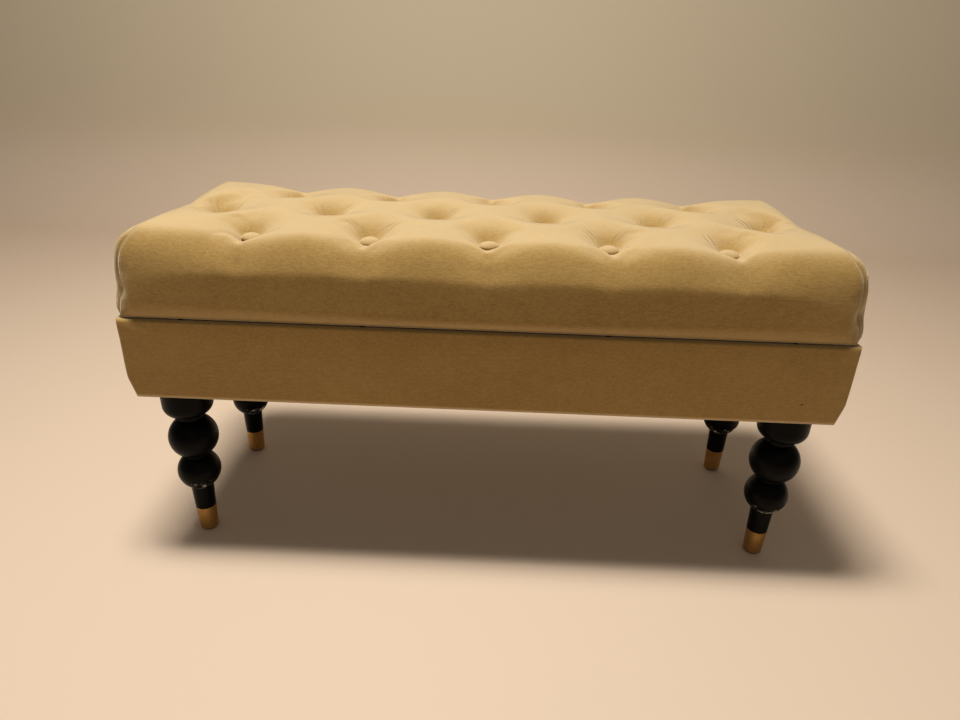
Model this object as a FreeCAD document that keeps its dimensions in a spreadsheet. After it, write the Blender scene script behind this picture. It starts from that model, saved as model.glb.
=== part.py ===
"""Upholstered piano bench: a velvet storage box on four turned legs, under a hinged, button-tufted lid.

Frame: +X along the bench to its right end, +Y to the back, +Z up, in millimetres. The origin is on the floor
under the middle of the box. Every size is a cell of the sheet, and every piece is bound to those cells.
"""
import FreeCAD, Part
import math
import os
from types import SimpleNamespace

import Sketcher
from FreeCAD import Placement, Rotation, Vector

# Driving sizes, in millimetres and degrees.
SIZES = {
    # box, outside the cloth
    "box_length": 831,
    "box_depth": 325,
    "box_height": 99,
    "end_taper": 3,
    "taper_height": 27,
    "corner_radius": 5,
    "panel_thickness": 12,
    "cover_thickness": 1.5,
    "lining_thickness": 1,
    "return_width": 22,
    # legs
    "leg_height": 239,
    "leg_inset_x": 32.3,
    "leg_inset_y": 61.5,
    "disc_radius": 31.3,
    "disc_height": 55,
    "disc_rounding": 16,
    "upper_ball_radius": 31.3,
    "upper_ball_height": 149.5,
    "lower_ball_radius": 27.7,
    "lower_ball_height": 97,
    "neck_radius": 12.5,
    "peg_top_radius": 14.9,
    "ferrule_height": 37.5,
    "ferrule_top_radius": 13.4,
    "ferrule_foot_radius": 12,
    "ferrule_wall": 1,
    "glide_thickness": 2.5,
    "glide_radius": 10,
    "bolt_radius": 4,
    "bolt_depth": 32,
    "tee_nut_barrel": 5,
    "tee_nut_flange": 11,
    "tee_nut_plate": 1.5,
    "fastener_clearance": 0.1,
    # lid
    "lid_gap": 3,
    "lid_end_setback": 3,
    "lid_side_setback": 1.5,
    "lid_height": 97,
    "lid_lean": 10,
    "lid_rounding": 30,
    "button_end_margin": 67.5,
    "button_side_margin": 66,
    "button_radius": 11.3,
    "button_dome": 6,
    "button_base": 1.5,
    "well_depth": 24,
    "well_radius": 26,
    "tie_radius": 0.8,
    "tie_hole_radius": 1.2,
    "washer_radius": 8,
    "bumper_radius": 5,
    "soft_clearance": 0.3,
    # hinges
    "hinge_inset": 145.5,
    "leaf_length": 76,
    "leaf_width": 17,
    "leaf_thickness": 1.2,
    "knuckle_radius": 2.5,
    "knuckle_clearance": 0.3,
    "pin_radius": 1.25,
    "pin_clearance": 0.05,
    # folding stays
    "stay_lid_reach": 110,
    "stay_lid_drop": 14,
    "stay_box_reach": 40,
    "stay_box_drop": 45,
    "arm_width": 13,
    "arm_thickness": 1.5,
    "arm_clearance": 0.3,
    "bracket_thickness": 1.5,
    "bracket_length": 40,
    "rivet_radius": 2,
    "rivet_head_radius": 3.6,
    "rivet_head_height": 1.05,
    # screws and staples
    "screw_radius": 1.6,
    "screw_head_radius": 3.2,
    "screw_head_height": 1.6,
    "hinge_screw_length": 11,
    "panel_screw_length": 40,
    "panel_screw_inset": 18,
    "staple_width": 10,
    "staple_wire": 0.5,
}
KNUCKLES = 5
STAPLES_LONG = 12
STAPLES_SHORT = 4
STAPLED_SHARE = 0.8  # of a short side, between its outer staples and the corners
COLUMNS_FROM_MIDDLE = 2.5  # button spaces from the middle of the lid to the outer button
UPRIGHT = 0.9  # least vertical share of an upright edge's direction
NEAR = 0.1

document = FreeCAD.newDocument("piano_bench")
sheet = document.addObject("Spreadsheet::Sheet", "Sizes")
for row, (alias, number) in enumerate(SIZES.items(), start=1):
    sheet.set(f"A{row}", alias)
    sheet.set(f"B{row}", str(number))
    sheet.setAlias(f"B{row}", alias)
document.recompute()


class Dim:
    """A size: its value now, and the expression that keeps it true when the sheet changes."""

    def __init__(self, value, text):
        self.value = value
        self.text = text

    def __add__(self, other):
        return Dim(self.value + value_of(other), f"({self.text} + {text_of(other)})")

    def __sub__(self, other):
        return Dim(self.value - value_of(other), f"({self.text} - {text_of(other)})")

    def __mul__(self, other):
        return Dim(self.value * value_of(other), f"({self.text} * {text_of(other)})")

    def __truediv__(self, other):
        return Dim(self.value / value_of(other), f"({self.text} / {text_of(other)})")

    def __neg__(self):
        return self * -1

    __radd__ = __add__
    __rmul__ = __mul__


def value_of(size):
    """Give the number behind a size or a plain number."""
    return size.value if isinstance(size, Dim) else size


def text_of(size):
    """Give the expression behind a size or a plain number."""
    return size.text if isinstance(size, Dim) else f"({size})"


def hypotenuse(along, across):
    """Give the length of a slanted line as a size."""
    text = f"sqrt({text_of(along)} ^ 2 + {text_of(across)} ^ 2)"
    return Dim(math.hypot(value_of(along), value_of(across)), text)


d = SimpleNamespace(**{alias: Dim(float(sheet.get(alias)), f"Sizes.{alias}") for alias in SIZES})


# ---------------------------------------------------------------- document helpers

def bind(item, path, size):
    """Bind one property of a document object to a size."""
    item.setExpression(path, text_of(size))


def put(item, place, axis=Vector(0, 0, 1), angle=0):
    """Put an object at (x, y, z), turned about an axis."""
    item.Placement = Placement(Vector(*[value_of(p) for p in place]), Rotation(axis, angle))
    for letter, position in zip("xyz", place):
        bind(item, f"Placement.Base.{letter}", position)
    return item


def block(name, low, high):
    """Make a rectangular block between two corners."""
    item = document.addObject("Part::Box", name)
    for side, start, end in zip(("Length", "Width", "Height"), low, high):
        bind(item, side, end - start)
    return put(item, low)


def rod(name, radius, length, place, along="z"):
    """Make a cylinder that starts at a place and runs along +Z or +X."""
    item = document.addObject("Part::Cylinder", name)
    bind(item, "Radius", radius)
    bind(item, "Height", length)
    return put(item, place, Vector(0, 1, 0), 90 if along == "x" else 0)


def cone(name, foot_radius, top_radius, height, place):
    """Make an upright cone frustum on a place."""
    item = document.addObject("Part::Cone", name)
    bind(item, "Radius1", foot_radius)
    bind(item, "Radius2", top_radius)
    bind(item, "Height", height)
    return put(item, place)


def ball(name, radius, height):
    """Make a ball on the Z axis."""
    item = document.addObject("Part::Sphere", name)
    bind(item, "Radius", radius)
    return put(item, (0, 0, height))


def fuse(name, pieces):
    """Join overlapping objects into one solid."""
    item = document.addObject("Part::MultiFuse", name)
    item.Shapes = pieces
    item.Refine = True
    return item


def bundle(name, pieces):
    """Hold objects together without joining them."""
    item = document.addObject("Part::Compound", name)
    item.Links = pieces
    return item


def cut(name, base, tools):
    """Take one or more objects away from a base."""
    item = document.addObject("Part::Cut", name)
    item.Base = base
    item.Tool = tools[0] if len(tools) == 1 else bundle(f"{name}_tools", tools)
    return item


def shared(name, first, second):
    """Keep what two objects have in common."""
    item = document.addObject("Part::Common", name)
    item.Base = first
    item.Tool = second
    return item


def copies(name, seed, places, axis=Vector(0, 0, 1), angle=0):
    """Place copies of one piece and hold them together as one group."""
    links = []
    for index, place in enumerate(places):
        link = document.addObject("App::Link", f"{name}_{index}")
        link.LinkedObject = seed
        link.LinkTransform = True
        links.append(put(link, place, axis, angle))
    return bundle(name, links)


def new_body(name):
    """Start a PartDesign body."""
    return document.addObject("PartDesign::Body", name)


def new_sketch(body, role):
    """Start a sketch on one of the body's own origin planes."""
    sketch = body.newObject("Sketcher::SketchObject", f"{body.Name}_sketch")
    planes = {plane.Role: plane for plane in body.Origin.OriginFeatures}
    sketch.AttachmentSupport = [(planes[role], "")]
    sketch.MapMode = "FlatFace"
    return sketch


def fix_point(sketch, geometry, vertex, point):
    """Tie one sketch point to its two sizes."""
    for kind, size in zip(("DistanceX", "DistanceY"), point):
        constraint = Sketcher.Constraint(kind, -1, 1, geometry, vertex, float(value_of(size)))
        index = sketch.addConstraint(constraint)
        if isinstance(size, Dim):
            bind(sketch, f"Constraints[{index}]", size)


def outline(sketch, points):
    """Draw a closed outline of straight lines through (x, y) points."""
    first = sketch.GeometryCount
    corners = [Vector(value_of(x), value_of(y), 0) for x, y in points]
    for start, end in zip(corners, corners[1:] + corners[:1]):
        sketch.addGeometry(Part.LineSegment(start, end))
    count = len(points)
    for index, point in enumerate(points):
        following = first + (index + 1) % count
        sketch.addConstraint(Sketcher.Constraint("Coincident", first + index, 2, following, 1))
        fix_point(sketch, first + index, 1, point)


def circle(sketch, centre, radius):
    """Draw a circle in a sketch."""
    middle = Vector(value_of(centre[0]), value_of(centre[1]), 0)
    geometry = sketch.addGeometry(Part.Circle(middle, Vector(0, 0, 1), value_of(radius)))
    fix_point(sketch, geometry, 3, centre)
    index = sketch.addConstraint(Sketcher.Constraint("Radius", geometry, value_of(radius)))
    bind(sketch, f"Constraints[{index}]", radius)


def extrude(body, kind, sketch, length, both_ways=False):
    """Add a Pad or a Pocket of a sketch to its body."""
    feature = body.newObject(f"PartDesign::{kind}", f"{body.Name}_{kind}")
    feature.Profile = sketch
    bind(feature, "Length", length)
    if both_ways:
        feature.SideType = "Symmetric"
    return feature


def spin(body, sketch):
    """Turn a sketch round the body's Z axis into a solid."""
    feature = body.newObject("PartDesign::Revolution", f"{body.Name}_revolution")
    feature.Profile = sketch
    feature.ReferenceAxis = (sketch, ["V_Axis"])
    feature.Angle = 360
    return feature


def round_edges(body, feature, radius, wanted):
    """Round the edges of a feature that a test picks."""
    document.recompute()
    names = [f"Edge{i}" for i, edge in enumerate(feature.Shape.Edges, start=1) if wanted(edge)]
    fillet = body.newObject("PartDesign::Fillet", f"{body.Name}_fillet")
    fillet.Base = (feature, names)
    bind(fillet, "Radius", radius)
    return fillet


def turned(name, points):
    """Make a solid of revolution about Z from (radius, height) points."""
    body = new_body(name)
    sketch = new_sketch(body, "XZ_Plane")
    outline(sketch, points)
    spin(body, sketch)
    return body


def slab_span(side, near, far):
    """Give the low and high X of a slab between two distances from the middle, on one side."""
    return (near, far) if side > 0 else (-far, -near)


# ---------------------------------------------------------------- shared places

box_bottom = d.leg_height
rim = box_bottom + d.box_height
carcass_bottom = box_bottom + d.cover_thickness
carcass_top = rim - d.cover_thickness
floor_top = carcass_bottom + d.panel_thickness
half_length = d.box_length / 2 - d.cover_thickness
half_depth = d.box_depth / 2 - d.cover_thickness
inner_length = half_length - d.panel_thickness
inner_depth = half_depth - d.panel_thickness
room_length = inner_length - d.lining_thickness
room_depth = inner_depth - d.lining_thickness
lid_length = d.box_length - d.lid_end_setback * 2
lid_depth = d.box_depth - d.lid_side_setback * 2
lid_bottom = rim + d.lid_gap
lid_top = lid_bottom + d.lid_height
board_bottom = lid_bottom + d.cover_thickness
board_top = board_bottom + d.panel_thickness
button_pitch_x = (lid_length / 2 - d.button_end_margin) / COLUMNS_FROM_MIDDLE
button_pitch_y = lid_depth / 2 - d.button_side_margin
button_seat = lid_top - d.well_depth
hinge_y = d.box_depth / 2 + d.knuckle_radius + d.knuckle_clearance
hinge_z = rim + d.lid_gap / 2
LEG_CORNERS = {
    "left_front": (-1, -1),
    "right_front": (1, -1),
    "left_rear": (-1, 1),
    "right_rear": (1, 1),
}
SIDES = {"left": -1, "right": 1}
nodes = {}


def keep(label, item, solids=1):
    """Name a finished piece and note how many solids it has."""
    item.Label = label
    nodes[label] = (item, solids)
    return item


# ---------------------------------------------------------------- fasteners

def countersunk_screw(name, length):
    """Make a countersunk wood screw: head face at the origin, point down."""
    tip = d.screw_radius * 1.5
    return turned(name, [
        (0, 0),
        (d.screw_head_radius, 0),
        (d.screw_radius, -d.screw_head_height),
        (d.screw_radius, -(length - tip)),
        (0, -length),
    ])


hinge_screw = countersunk_screw("hinge_screw", d.hinge_screw_length)
panel_screw = countersunk_screw("panel_screw", d.panel_screw_length)
staple = block("staple", (-d.staple_width / 2, -d.staple_wire, 0),
               (d.staple_width / 2, d.staple_wire, d.staple_wire))


def screw_sinks(name, places, axis=Vector(0, 0, 1), angle=0):
    """Make the cutting tools for the countersunk holes of a plate."""
    slack = d.fastener_clearance
    seed = turned(f"{name}_sink", [
        (0, slack),
        (d.screw_head_radius + slack, slack),
        (d.screw_head_radius + slack, 0),
        (d.screw_radius + slack, -d.screw_head_height),
        (d.screw_radius + slack, -(d.screw_head_height + d.leaf_thickness + d.bracket_thickness)),
        (0, -(d.screw_head_height + d.leaf_thickness + d.bracket_thickness)),
    ])
    return copies(name, seed, places, axis, angle)


# ---------------------------------------------------------------- box

def box_form(name, inset):
    """Make the box's outer form, set in by a distance, with its lower ends tapered in."""
    half = d.box_length / 2 - inset
    foot = half - d.end_taper
    low, bend, top = box_bottom + inset, box_bottom + d.taper_height, rim - inset
    body = new_body(name)
    sketch = new_sketch(body, "XZ_Plane")
    outline(sketch, [(-foot, low), (foot, low), (half, bend), (half, top), (-half, top), (-half, bend)])
    pad = extrude(body, "Pad", sketch, d.box_depth - inset * 2, both_ways=True)
    round_edges(body, pad, d.corner_radius - inset, lambda edge: abs(edge.tangentAt(0).z) > UPRIGHT)
    return body


def box_pieces():
    """Make the panels, the cloth outside and inside, and what holds them together."""
    outer = box_form("box_outer_form", 0)
    carcass = box_form("carcass_form", d.cover_thickness)
    far = d.box_length
    screw_x = inner_length + d.panel_thickness / 2
    screw_heights = [floor_top + d.panel_screw_inset, carcass_top - d.panel_screw_inset]
    fronts = [(x, -half_depth, z) for x in (-screw_x, screw_x) for z in screw_heights]
    backs = [(x, half_depth, z) for x in (-screw_x, screw_x) for z in screw_heights]
    front_screws = copies("front_panel_screws", panel_screw, fronts, Vector(1, 0, 0), 90)
    back_screws = copies("back_panel_screws", panel_screw, backs, Vector(1, 0, 0), -90)
    floor_places = [
        (d.box_length / 3 * step, (half_depth - d.panel_thickness / 2) * side, carcass_bottom)
        for step in (-1, 0, 1) for side in (-1, 1)
    ]
    floor_screws = copies("floor_screws", panel_screw, floor_places, Vector(1, 0, 0), 180)
    keep("panel_screws", bundle("panel_screws", [front_screws, back_screws, floor_screws]), 14)

    hinge_places = [
        (middle + step, screw_row_y, rim + d.leaf_thickness)
        for middle in hinge_middles for step in hinge_screw_steps
    ]
    hinge_box_screws = keep("hinge_box_screws", copies("hinge_box_screws", hinge_screw, hinge_places), 6)
    stay_screws = []
    for name, side in SIDES.items():
        places = stay_plate_screw_places(side)
        stay_screws.append(copies(f"{name}_stay_wall_screws", hinge_screw, places, Vector(0, 1, 0), -90 * side))
    stay_box_screws = keep("stay_box_screws", bundle("stay_box_screws", stay_screws), 4)

    def panel(label, low, high, drills):
        slab = block(f"{label}_slab", low, high)
        keep(label, cut(label, shared(f"{label}_blank", carcass, slab), drills))

    panel("front_panel", (-far, -half_depth, floor_top), (far, -inner_depth, carcass_top),
          [front_screws, floor_screws])
    panel("back_panel", (-far, inner_depth, floor_top), (far, half_depth, carcass_top),
          [back_screws, floor_screws, hinge_box_screws])
    for name, side in SIDES.items():
        low_x, high_x = slab_span(side, inner_length, half_length)
        panel(f"{name}_end_panel", (low_x, -inner_depth, floor_top), (high_x, inner_depth, carcass_top),
              [front_screws, back_screws, stay_box_screws])

    nut_holes = copies("nut_holes", fuse("nut_hole", [
        rod("nut_barrel_hole", d.tee_nut_barrel + d.fastener_clearance, d.panel_thickness,
            (0, 0, carcass_bottom)),
        rod("nut_flange_hole", d.tee_nut_flange + d.fastener_clearance, d.tee_nut_plate + d.fastener_clearance,
            (0, 0, floor_top - d.tee_nut_plate - d.fastener_clearance)),
    ]), leg_places)
    panel("bottom_panel", (-far, -half_depth, carcass_bottom), (far, half_depth, floor_top),
          [nut_holes, floor_screws])

    room = block("box_room", (-inner_length, -inner_depth, floor_top), (inner_length, inner_depth, rim))
    window_x = half_length - d.return_width
    window_y = half_depth - d.return_width
    window = block("bottom_window", (-window_x, -window_y, box_bottom), (window_x, window_y, carcass_bottom))
    bolt_hole = rod("bolt_hole", d.bolt_radius * 1.5, floor_top - box_bottom, (0, 0, box_bottom))
    bolt_holes = copies("bolt_holes", bolt_hole, leg_places)
    cover_tools = [carcass, room, window, bolt_holes, hinge_box_screws, front_screws, back_screws]
    keep("box_cover", cut("box_cover", outer, cover_tools))

    lining_low = floor_top + d.lining_thickness
    lining_outer = block("lining_outer", (-inner_length, -inner_depth, lining_low),
                         (inner_length, inner_depth, carcass_top))
    lining_inner = block("lining_inner", (-room_length, -room_depth, lining_low),
                         (room_length, room_depth, carcass_top))
    keep("wall_lining", cut("wall_lining", lining_outer, [lining_inner, stay_box_screws]))
    keep("floor_lining", block("floor_lining", (-inner_length, -inner_depth, floor_top),
                               (inner_length, inner_depth, lining_low)))
    dust_low = carcass_bottom - d.lining_thickness
    dust = block("dust_sheet", (-window_x, -window_y, dust_low), (window_x, window_y, carcass_bottom))
    keep("dust_cover", cut("dust_cover", dust, [bolt_holes, floor_screws]))

    staple_low = dust_low - d.staple_wire
    edge_y = window_y - d.staple_width / 2
    edge_x = window_x - d.staple_width / 2
    long_places = [
        (window_x * (2 * (step + 0.5) / STAPLES_LONG - 1), edge_y * side, staple_low)
        for step in range(STAPLES_LONG) for side in (-1, 1)
    ]
    short_places = [
        (edge_x * side, window_y * STAPLED_SHARE * (2 * (step + 0.5) / STAPLES_SHORT - 1), staple_low)
        for step in range(STAPLES_SHORT) for side in (-1, 1)
    ]
    long_staples = copies("long_staples", staple, long_places)
    short_staples = copies("short_staples", staple, short_places, Vector(0, 0, 1), 90)
    keep("dust_cover_staples", bundle("dust_cover_staples", [long_staples, short_staples]),
         2 * (STAPLES_LONG + STAPLES_SHORT))


# ---------------------------------------------------------------- legs

leg_places = [
    ((d.box_length / 2 - d.leg_inset_x) * x, (d.box_depth / 2 - d.leg_inset_y) * y, 0)
    for x, y in LEG_CORNERS.values()
]


def leg_pieces():
    """Make the turned legs, their ferrules and glides, and the bolts and nuts that hold them."""
    disc_low = d.leg_height - d.disc_height
    peg_top = d.lower_ball_height - d.lower_ball_radius / 2
    shoulder = d.ferrule_height
    tip_low = d.glide_thickness + d.ferrule_wall
    disc_body = new_body("leg_disc")
    sketch = new_sketch(disc_body, "XY_Plane")
    circle(sketch, (0, 0), d.disc_radius)
    pad = extrude(disc_body, "Pad", sketch, d.disc_height)
    round_edges(disc_body, pad, d.disc_rounding, lambda edge: edge.BoundBox.ZMax < NEAR)
    put(disc_body, (0, 0, disc_low))
    wood = fuse("leg_wood", [
        cone("leg_tip", d.ferrule_foot_radius - d.ferrule_wall, d.ferrule_top_radius - d.ferrule_wall,
             shoulder - tip_low, (0, 0, tip_low)),
        cone("leg_peg", d.ferrule_top_radius, d.peg_top_radius, peg_top - shoulder, (0, 0, shoulder)),
        ball("lower_ball", d.lower_ball_radius, d.lower_ball_height),
        rod("leg_neck", d.neck_radius, disc_low - d.lower_ball_height + d.disc_rounding,
            (0, 0, d.lower_ball_height)),
        ball("upper_ball", d.upper_ball_radius, d.upper_ball_height),
        disc_body,
    ])
    bolt_low = d.leg_height - d.bolt_depth
    bore_low = bolt_low - d.fastener_clearance * 5
    bore = rod("leg_bore", d.bolt_radius + d.fastener_clearance, d.leg_height - bore_low, (0, 0, bore_low))
    leg = cut("leg", wood, [bore])

    shell = cone("ferrule_shell", d.ferrule_foot_radius, d.ferrule_top_radius, shoulder - d.glide_thickness,
                 (0, 0, d.glide_thickness))
    hollow = cone("ferrule_hollow", d.ferrule_foot_radius - d.ferrule_wall,
                  d.ferrule_top_radius - d.ferrule_wall, shoulder - tip_low, (0, 0, tip_low))
    ferrule = cut("ferrule", shell, [hollow])
    glide = rod("glide", d.glide_radius, d.glide_thickness, (0, 0, 0))
    for name, place in zip(LEG_CORNERS, leg_places):
        keep(f"{name}_leg", copies(f"{name}_leg", leg, [place]))
        keep(f"{name}_ferrule", copies(f"{name}_ferrule", ferrule, [place]))
        keep(f"{name}_glide", copies(f"{name}_glide", glide, [place]))

    bolt_top = floor_top - d.tee_nut_plate / 2
    bolt = rod("hanger_bolt", d.bolt_radius, bolt_top - bolt_low, (0, 0, bolt_low))
    keep("hanger_bolts", copies("hanger_bolts", bolt, leg_places), 4)
    nut_bore = rod("nut_bore", d.bolt_radius + d.fastener_clearance, d.panel_thickness,
                   (0, 0, carcass_bottom))
    nut_low = carcass_bottom + d.tee_nut_plate
    nut = cut("tee_nut", fuse("tee_nut_blank", [
        rod("nut_barrel", d.tee_nut_barrel, floor_top - nut_low, (0, 0, nut_low)),
        rod("nut_plate", d.tee_nut_flange, d.tee_nut_plate, (0, 0, floor_top - d.tee_nut_plate)),
    ]), [nut_bore])
    keep("tee_nuts", copies("tee_nuts", nut, leg_places), 4)


# ---------------------------------------------------------------- lid

button_places = [
    (button_pitch_x * column, button_pitch_y * line)
    for line in (-1, 0, 1)
    for column in ((-2.5, -1.5, -0.5, 0.5, 1.5, 2.5) if line == 0 else (-2, -1, 0, 1, 2))
]


def at_height(height):
    """Give every tuft's place at one height."""
    return [(x, y, height) for x, y in button_places]


def lid_form(name, inset):
    """Make the lid's outer form, set in by a distance: ends lean in, top edges are round."""
    half = lid_length / 2 - inset
    top_half = half - d.lid_lean
    low, top = lid_bottom + inset, lid_top - inset
    body = new_body(name)
    sketch = new_sketch(body, "XZ_Plane")
    outline(sketch, [(-half, low), (half, low), (top_half, top), (-top_half, top)])
    pad = extrude(body, "Pad", sketch, lid_depth - inset * 2, both_ways=True)
    high = value_of(top) - NEAR
    round_edges(body, pad, d.lid_rounding - inset, lambda edge: edge.BoundBox.ZMin > high)
    return body


def lid_pieces():
    """Make the lid's board, foam, cover and lining, and the sixteen tufts."""
    outer = lid_form("lid_outer_form", 0)
    core = lid_form("lid_core_form", d.cover_thickness)
    skin = d.cover_thickness
    far = d.box_length
    slope = (d.well_radius - d.button_radius) / d.well_depth
    seat_radius = d.button_radius + d.soft_clearance
    well_high, wide_high = d.well_depth + skin, d.well_depth + skin * 2
    well = cone("well", seat_radius, seat_radius + slope * well_high, well_high, (0, 0, 0))
    wide_well = cone("wide_well", seat_radius + skin, seat_radius + skin + slope * wide_high,
                     wide_high, (0, 0, -skin))
    wells = copies("wells", well, at_height(button_seat))
    wide_wells = copies("wide_wells", wide_well, at_height(button_seat))
    tie_hole = rod("tie_hole", d.tie_hole_radius, d.lid_height, (0, 0, 0))
    tie_holes = copies("tie_holes", tie_hole, at_height(board_bottom))
    recess_depth = d.panel_thickness / 6
    recess = rod("washer_recess", d.washer_radius + d.fastener_clearance, recess_depth, (0, 0, 0))
    recesses = copies("washer_recesses", recess, at_height(board_bottom))

    hinge_places = [
        (middle + step, screw_row_y, lid_bottom - d.leaf_thickness)
        for middle in hinge_middles for step in hinge_screw_steps
    ]
    hinge_screws = keep("hinge_lid_screws",
                        copies("hinge_lid_screws", hinge_screw, hinge_places, Vector(1, 0, 0), 180), 6)
    stay_places = [
        (stay_flange_x * side, stay_lid_y + step, lid_bottom - d.bracket_thickness)
        for side in SIDES.values() for step in (-stay_screw_step / 2, stay_screw_step / 2)
    ]
    stay_screws = keep("stay_lid_screws",
                       copies("stay_lid_screws", hinge_screw, stay_places, Vector(1, 0, 0), 180), 4)

    board_slab = block("board_slab", (-far, -far, board_bottom), (far, far, board_top))
    keep("lid_panel", cut("lid_panel", shared("lid_board", core, board_slab),
                          [tie_holes, recesses, hinge_screws, stay_screws]))
    foam_slab = block("foam_slab", (-far, -far, board_top), (far, far, lid_top))
    keep("seat_foam", cut("seat_foam", shared("foam_block", core, foam_slab), [wide_wells, tie_holes]))

    window_x = lid_length / 2 - d.return_width - skin
    window_y = lid_depth / 2 - d.return_width - skin
    window = block("lid_window", (-window_x, -window_y, lid_bottom), (window_x, window_y, board_bottom))
    skin_form = cut("seat_skin", cut("seat_outside", outer, [wells]), [cut("seat_inside", core, [wide_wells])])
    keep("seat_cover", cut("seat_cover", skin_form, [window, tie_holes, hinge_screws, stay_screws]))
    lining = block("lid_lining_sheet", (-window_x, -window_y, lid_bottom), (window_x, window_y, board_bottom))
    keep("lid_lining", cut("lid_lining", lining, [hinge_screws, stay_screws]))

    dome = document.addObject("Part::Ellipsoid", "button_dome")
    bind(dome, "Radius1", d.button_dome)
    bind(dome, "Radius2", d.button_radius)
    dome.Angle1 = 0
    put(dome, (0, 0, d.button_base))
    button = fuse("tufting_button", [dome, rod("button_base", d.button_radius, d.button_base, (0, 0, 0))])
    keep("tufting_buttons", copies("tufting_buttons", button, at_height(button_seat)), len(button_places))
    washer_low = board_bottom + recess_depth - skin
    washer = cut("washer", rod("washer_disc", d.washer_radius, skin, (0, 0, 0)),
                 [rod("washer_hole", d.tie_hole_radius, skin, (0, 0, 0))])
    keep("tie_washers", copies("tie_washers", washer, at_height(washer_low)), len(button_places))
    tie = rod("tie", d.tie_radius, button_seat - washer_low, (0, 0, 0))
    keep("button_ties", copies("button_ties", tie, at_height(washer_low)), len(button_places))

    bumper = rod("bumper", d.bumper_radius, d.lid_gap - d.soft_clearance, (0, 0, 0))
    bumper_y = -(inner_depth + d.panel_thickness / 2)
    bumper_places = [
        (button_pitch_x * step, bumper_y, rim + d.soft_clearance)
        for step in (-COLUMNS_FROM_MIDDLE, -1, 1, COLUMNS_FROM_MIDDLE)
    ]
    keep("lid_bumpers", copies("lid_bumpers", bumper, bumper_places), len(bumper_places))
    edge_y = window_y + d.staple_wire * 4
    staple_places = [
        (window_x * (2 * (step + 0.5) / STAPLES_LONG - 1), edge_y * side, lid_bottom - d.staple_wire)
        for step in range(STAPLES_LONG) for side in (-1, 1)
    ]
    keep("lid_staples", copies("lid_staples", staple, staple_places), 2 * STAPLES_LONG)


# ---------------------------------------------------------------- hinges

hinge_middles = [(d.box_length / 2 - d.hinge_inset) * side for side in SIDES.values()]
hinge_screw_steps = [d.leaf_length / 3 * step for step in (-1, 0, 1)]
screw_row_y = inner_depth + d.panel_thickness / 2


def hinge_leaf(label, middle, low, high, own_knuckles):
    """Make one leaf of a butt hinge with its share of the knuckles."""
    pitch = d.leaf_length / KNUCKLES
    barrel_length = pitch - d.knuckle_clearance
    start = middle - d.leaf_length / 2
    relief = d.knuckle_radius + d.knuckle_clearance
    pieces = [block(f"{label}_plate", (start, hinge_y - d.leaf_width, low),
                    (start + d.leaf_length, hinge_y - relief, high))]
    for index in own_knuckles:
        barrel_start = start + pitch * index + d.knuckle_clearance / 2
        pieces.append(block(f"{label}_tongue_{index}", (barrel_start, hinge_y - relief - d.knuckle_radius, low),
                            (barrel_start + barrel_length, hinge_y, high)))
        pieces.append(rod(f"{label}_knuckle_{index}", d.knuckle_radius, barrel_length,
                          (barrel_start, hinge_y, hinge_z), "x"))
    return fuse(f"{label}_blank", pieces), rod(
        f"{label}_bore", d.pin_radius + d.pin_clearance, d.leaf_length, (start, hinge_y, hinge_z), "x")


def hinge_pieces():
    """Make both butt hinges: a leaf on the box, a leaf on the lid, and a pin."""
    for name, middle in zip(SIDES, hinge_middles):
        places = [(middle + step, screw_row_y, rim + d.leaf_thickness) for step in hinge_screw_steps]
        blank, bore = hinge_leaf(f"{name}_hinge_box_leaf", middle, rim, rim + d.leaf_thickness, (0, 2, 4))
        sinks = screw_sinks(f"{name}_box_leaf_sinks", places)
        keep(f"{name}_hinge_box_leaf", cut(f"{name}_hinge_box_leaf", blank, [bore, sinks]))
        places = [(x, y, lid_bottom - d.leaf_thickness) for x, y, _ in places]
        blank, bore = hinge_leaf(f"{name}_hinge_lid_leaf", middle, lid_bottom - d.leaf_thickness, lid_bottom,
                                 (1, 3))
        sinks = screw_sinks(f"{name}_lid_leaf_sinks", places, Vector(1, 0, 0), 180)
        keep(f"{name}_hinge_lid_leaf", cut(f"{name}_hinge_lid_leaf", blank, [bore, sinks]))
    pins = [
        rod(f"hinge_pin_{index}", d.pin_radius, d.leaf_length,
            (middle - d.leaf_length / 2, hinge_y, hinge_z), "x")
        for index, middle in enumerate(hinge_middles)
    ]
    keep("hinge_pins", bundle("hinge_pins", pins), 2)


# ---------------------------------------------------------------- folding stays
# Pivots of one stay, in the plane of its arms. The box pivot, elbow, lid pivot and hinge axis are the corners of
# a parallelogram, so the lower arm turns with the lid and the upper arm keeps its direction.

stay_box_y = hinge_y - d.stay_box_reach
stay_box_z = hinge_z - d.stay_box_drop
stay_lid_y = hinge_y - d.stay_lid_reach
stay_lid_z = hinge_z - d.stay_lid_drop
elbow_y = stay_box_y - d.stay_lid_reach
elbow_z = stay_box_z - d.stay_lid_drop
stay_screw_step = d.bracket_length / 2 - d.screw_head_radius * 2
stay_plate_face = room_length - d.bracket_thickness
lower_arm_far = stay_plate_face - d.arm_clearance
lower_arm_near = lower_arm_far - d.arm_thickness
upper_arm_far = lower_arm_near - d.arm_clearance
upper_arm_near = upper_arm_far - d.arm_thickness
flange_width = d.bracket_length / 2
stay_flange_x = lower_arm_near - flange_width / 2


def stay_plate_screw_places(side):
    """Give the places of the two screws that hold one stay's plate to the end of the box."""
    return [
        (stay_plate_face * side, stay_box_y, stay_box_z + step)
        for step in (stay_screw_step, -stay_screw_step)
    ]


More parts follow.
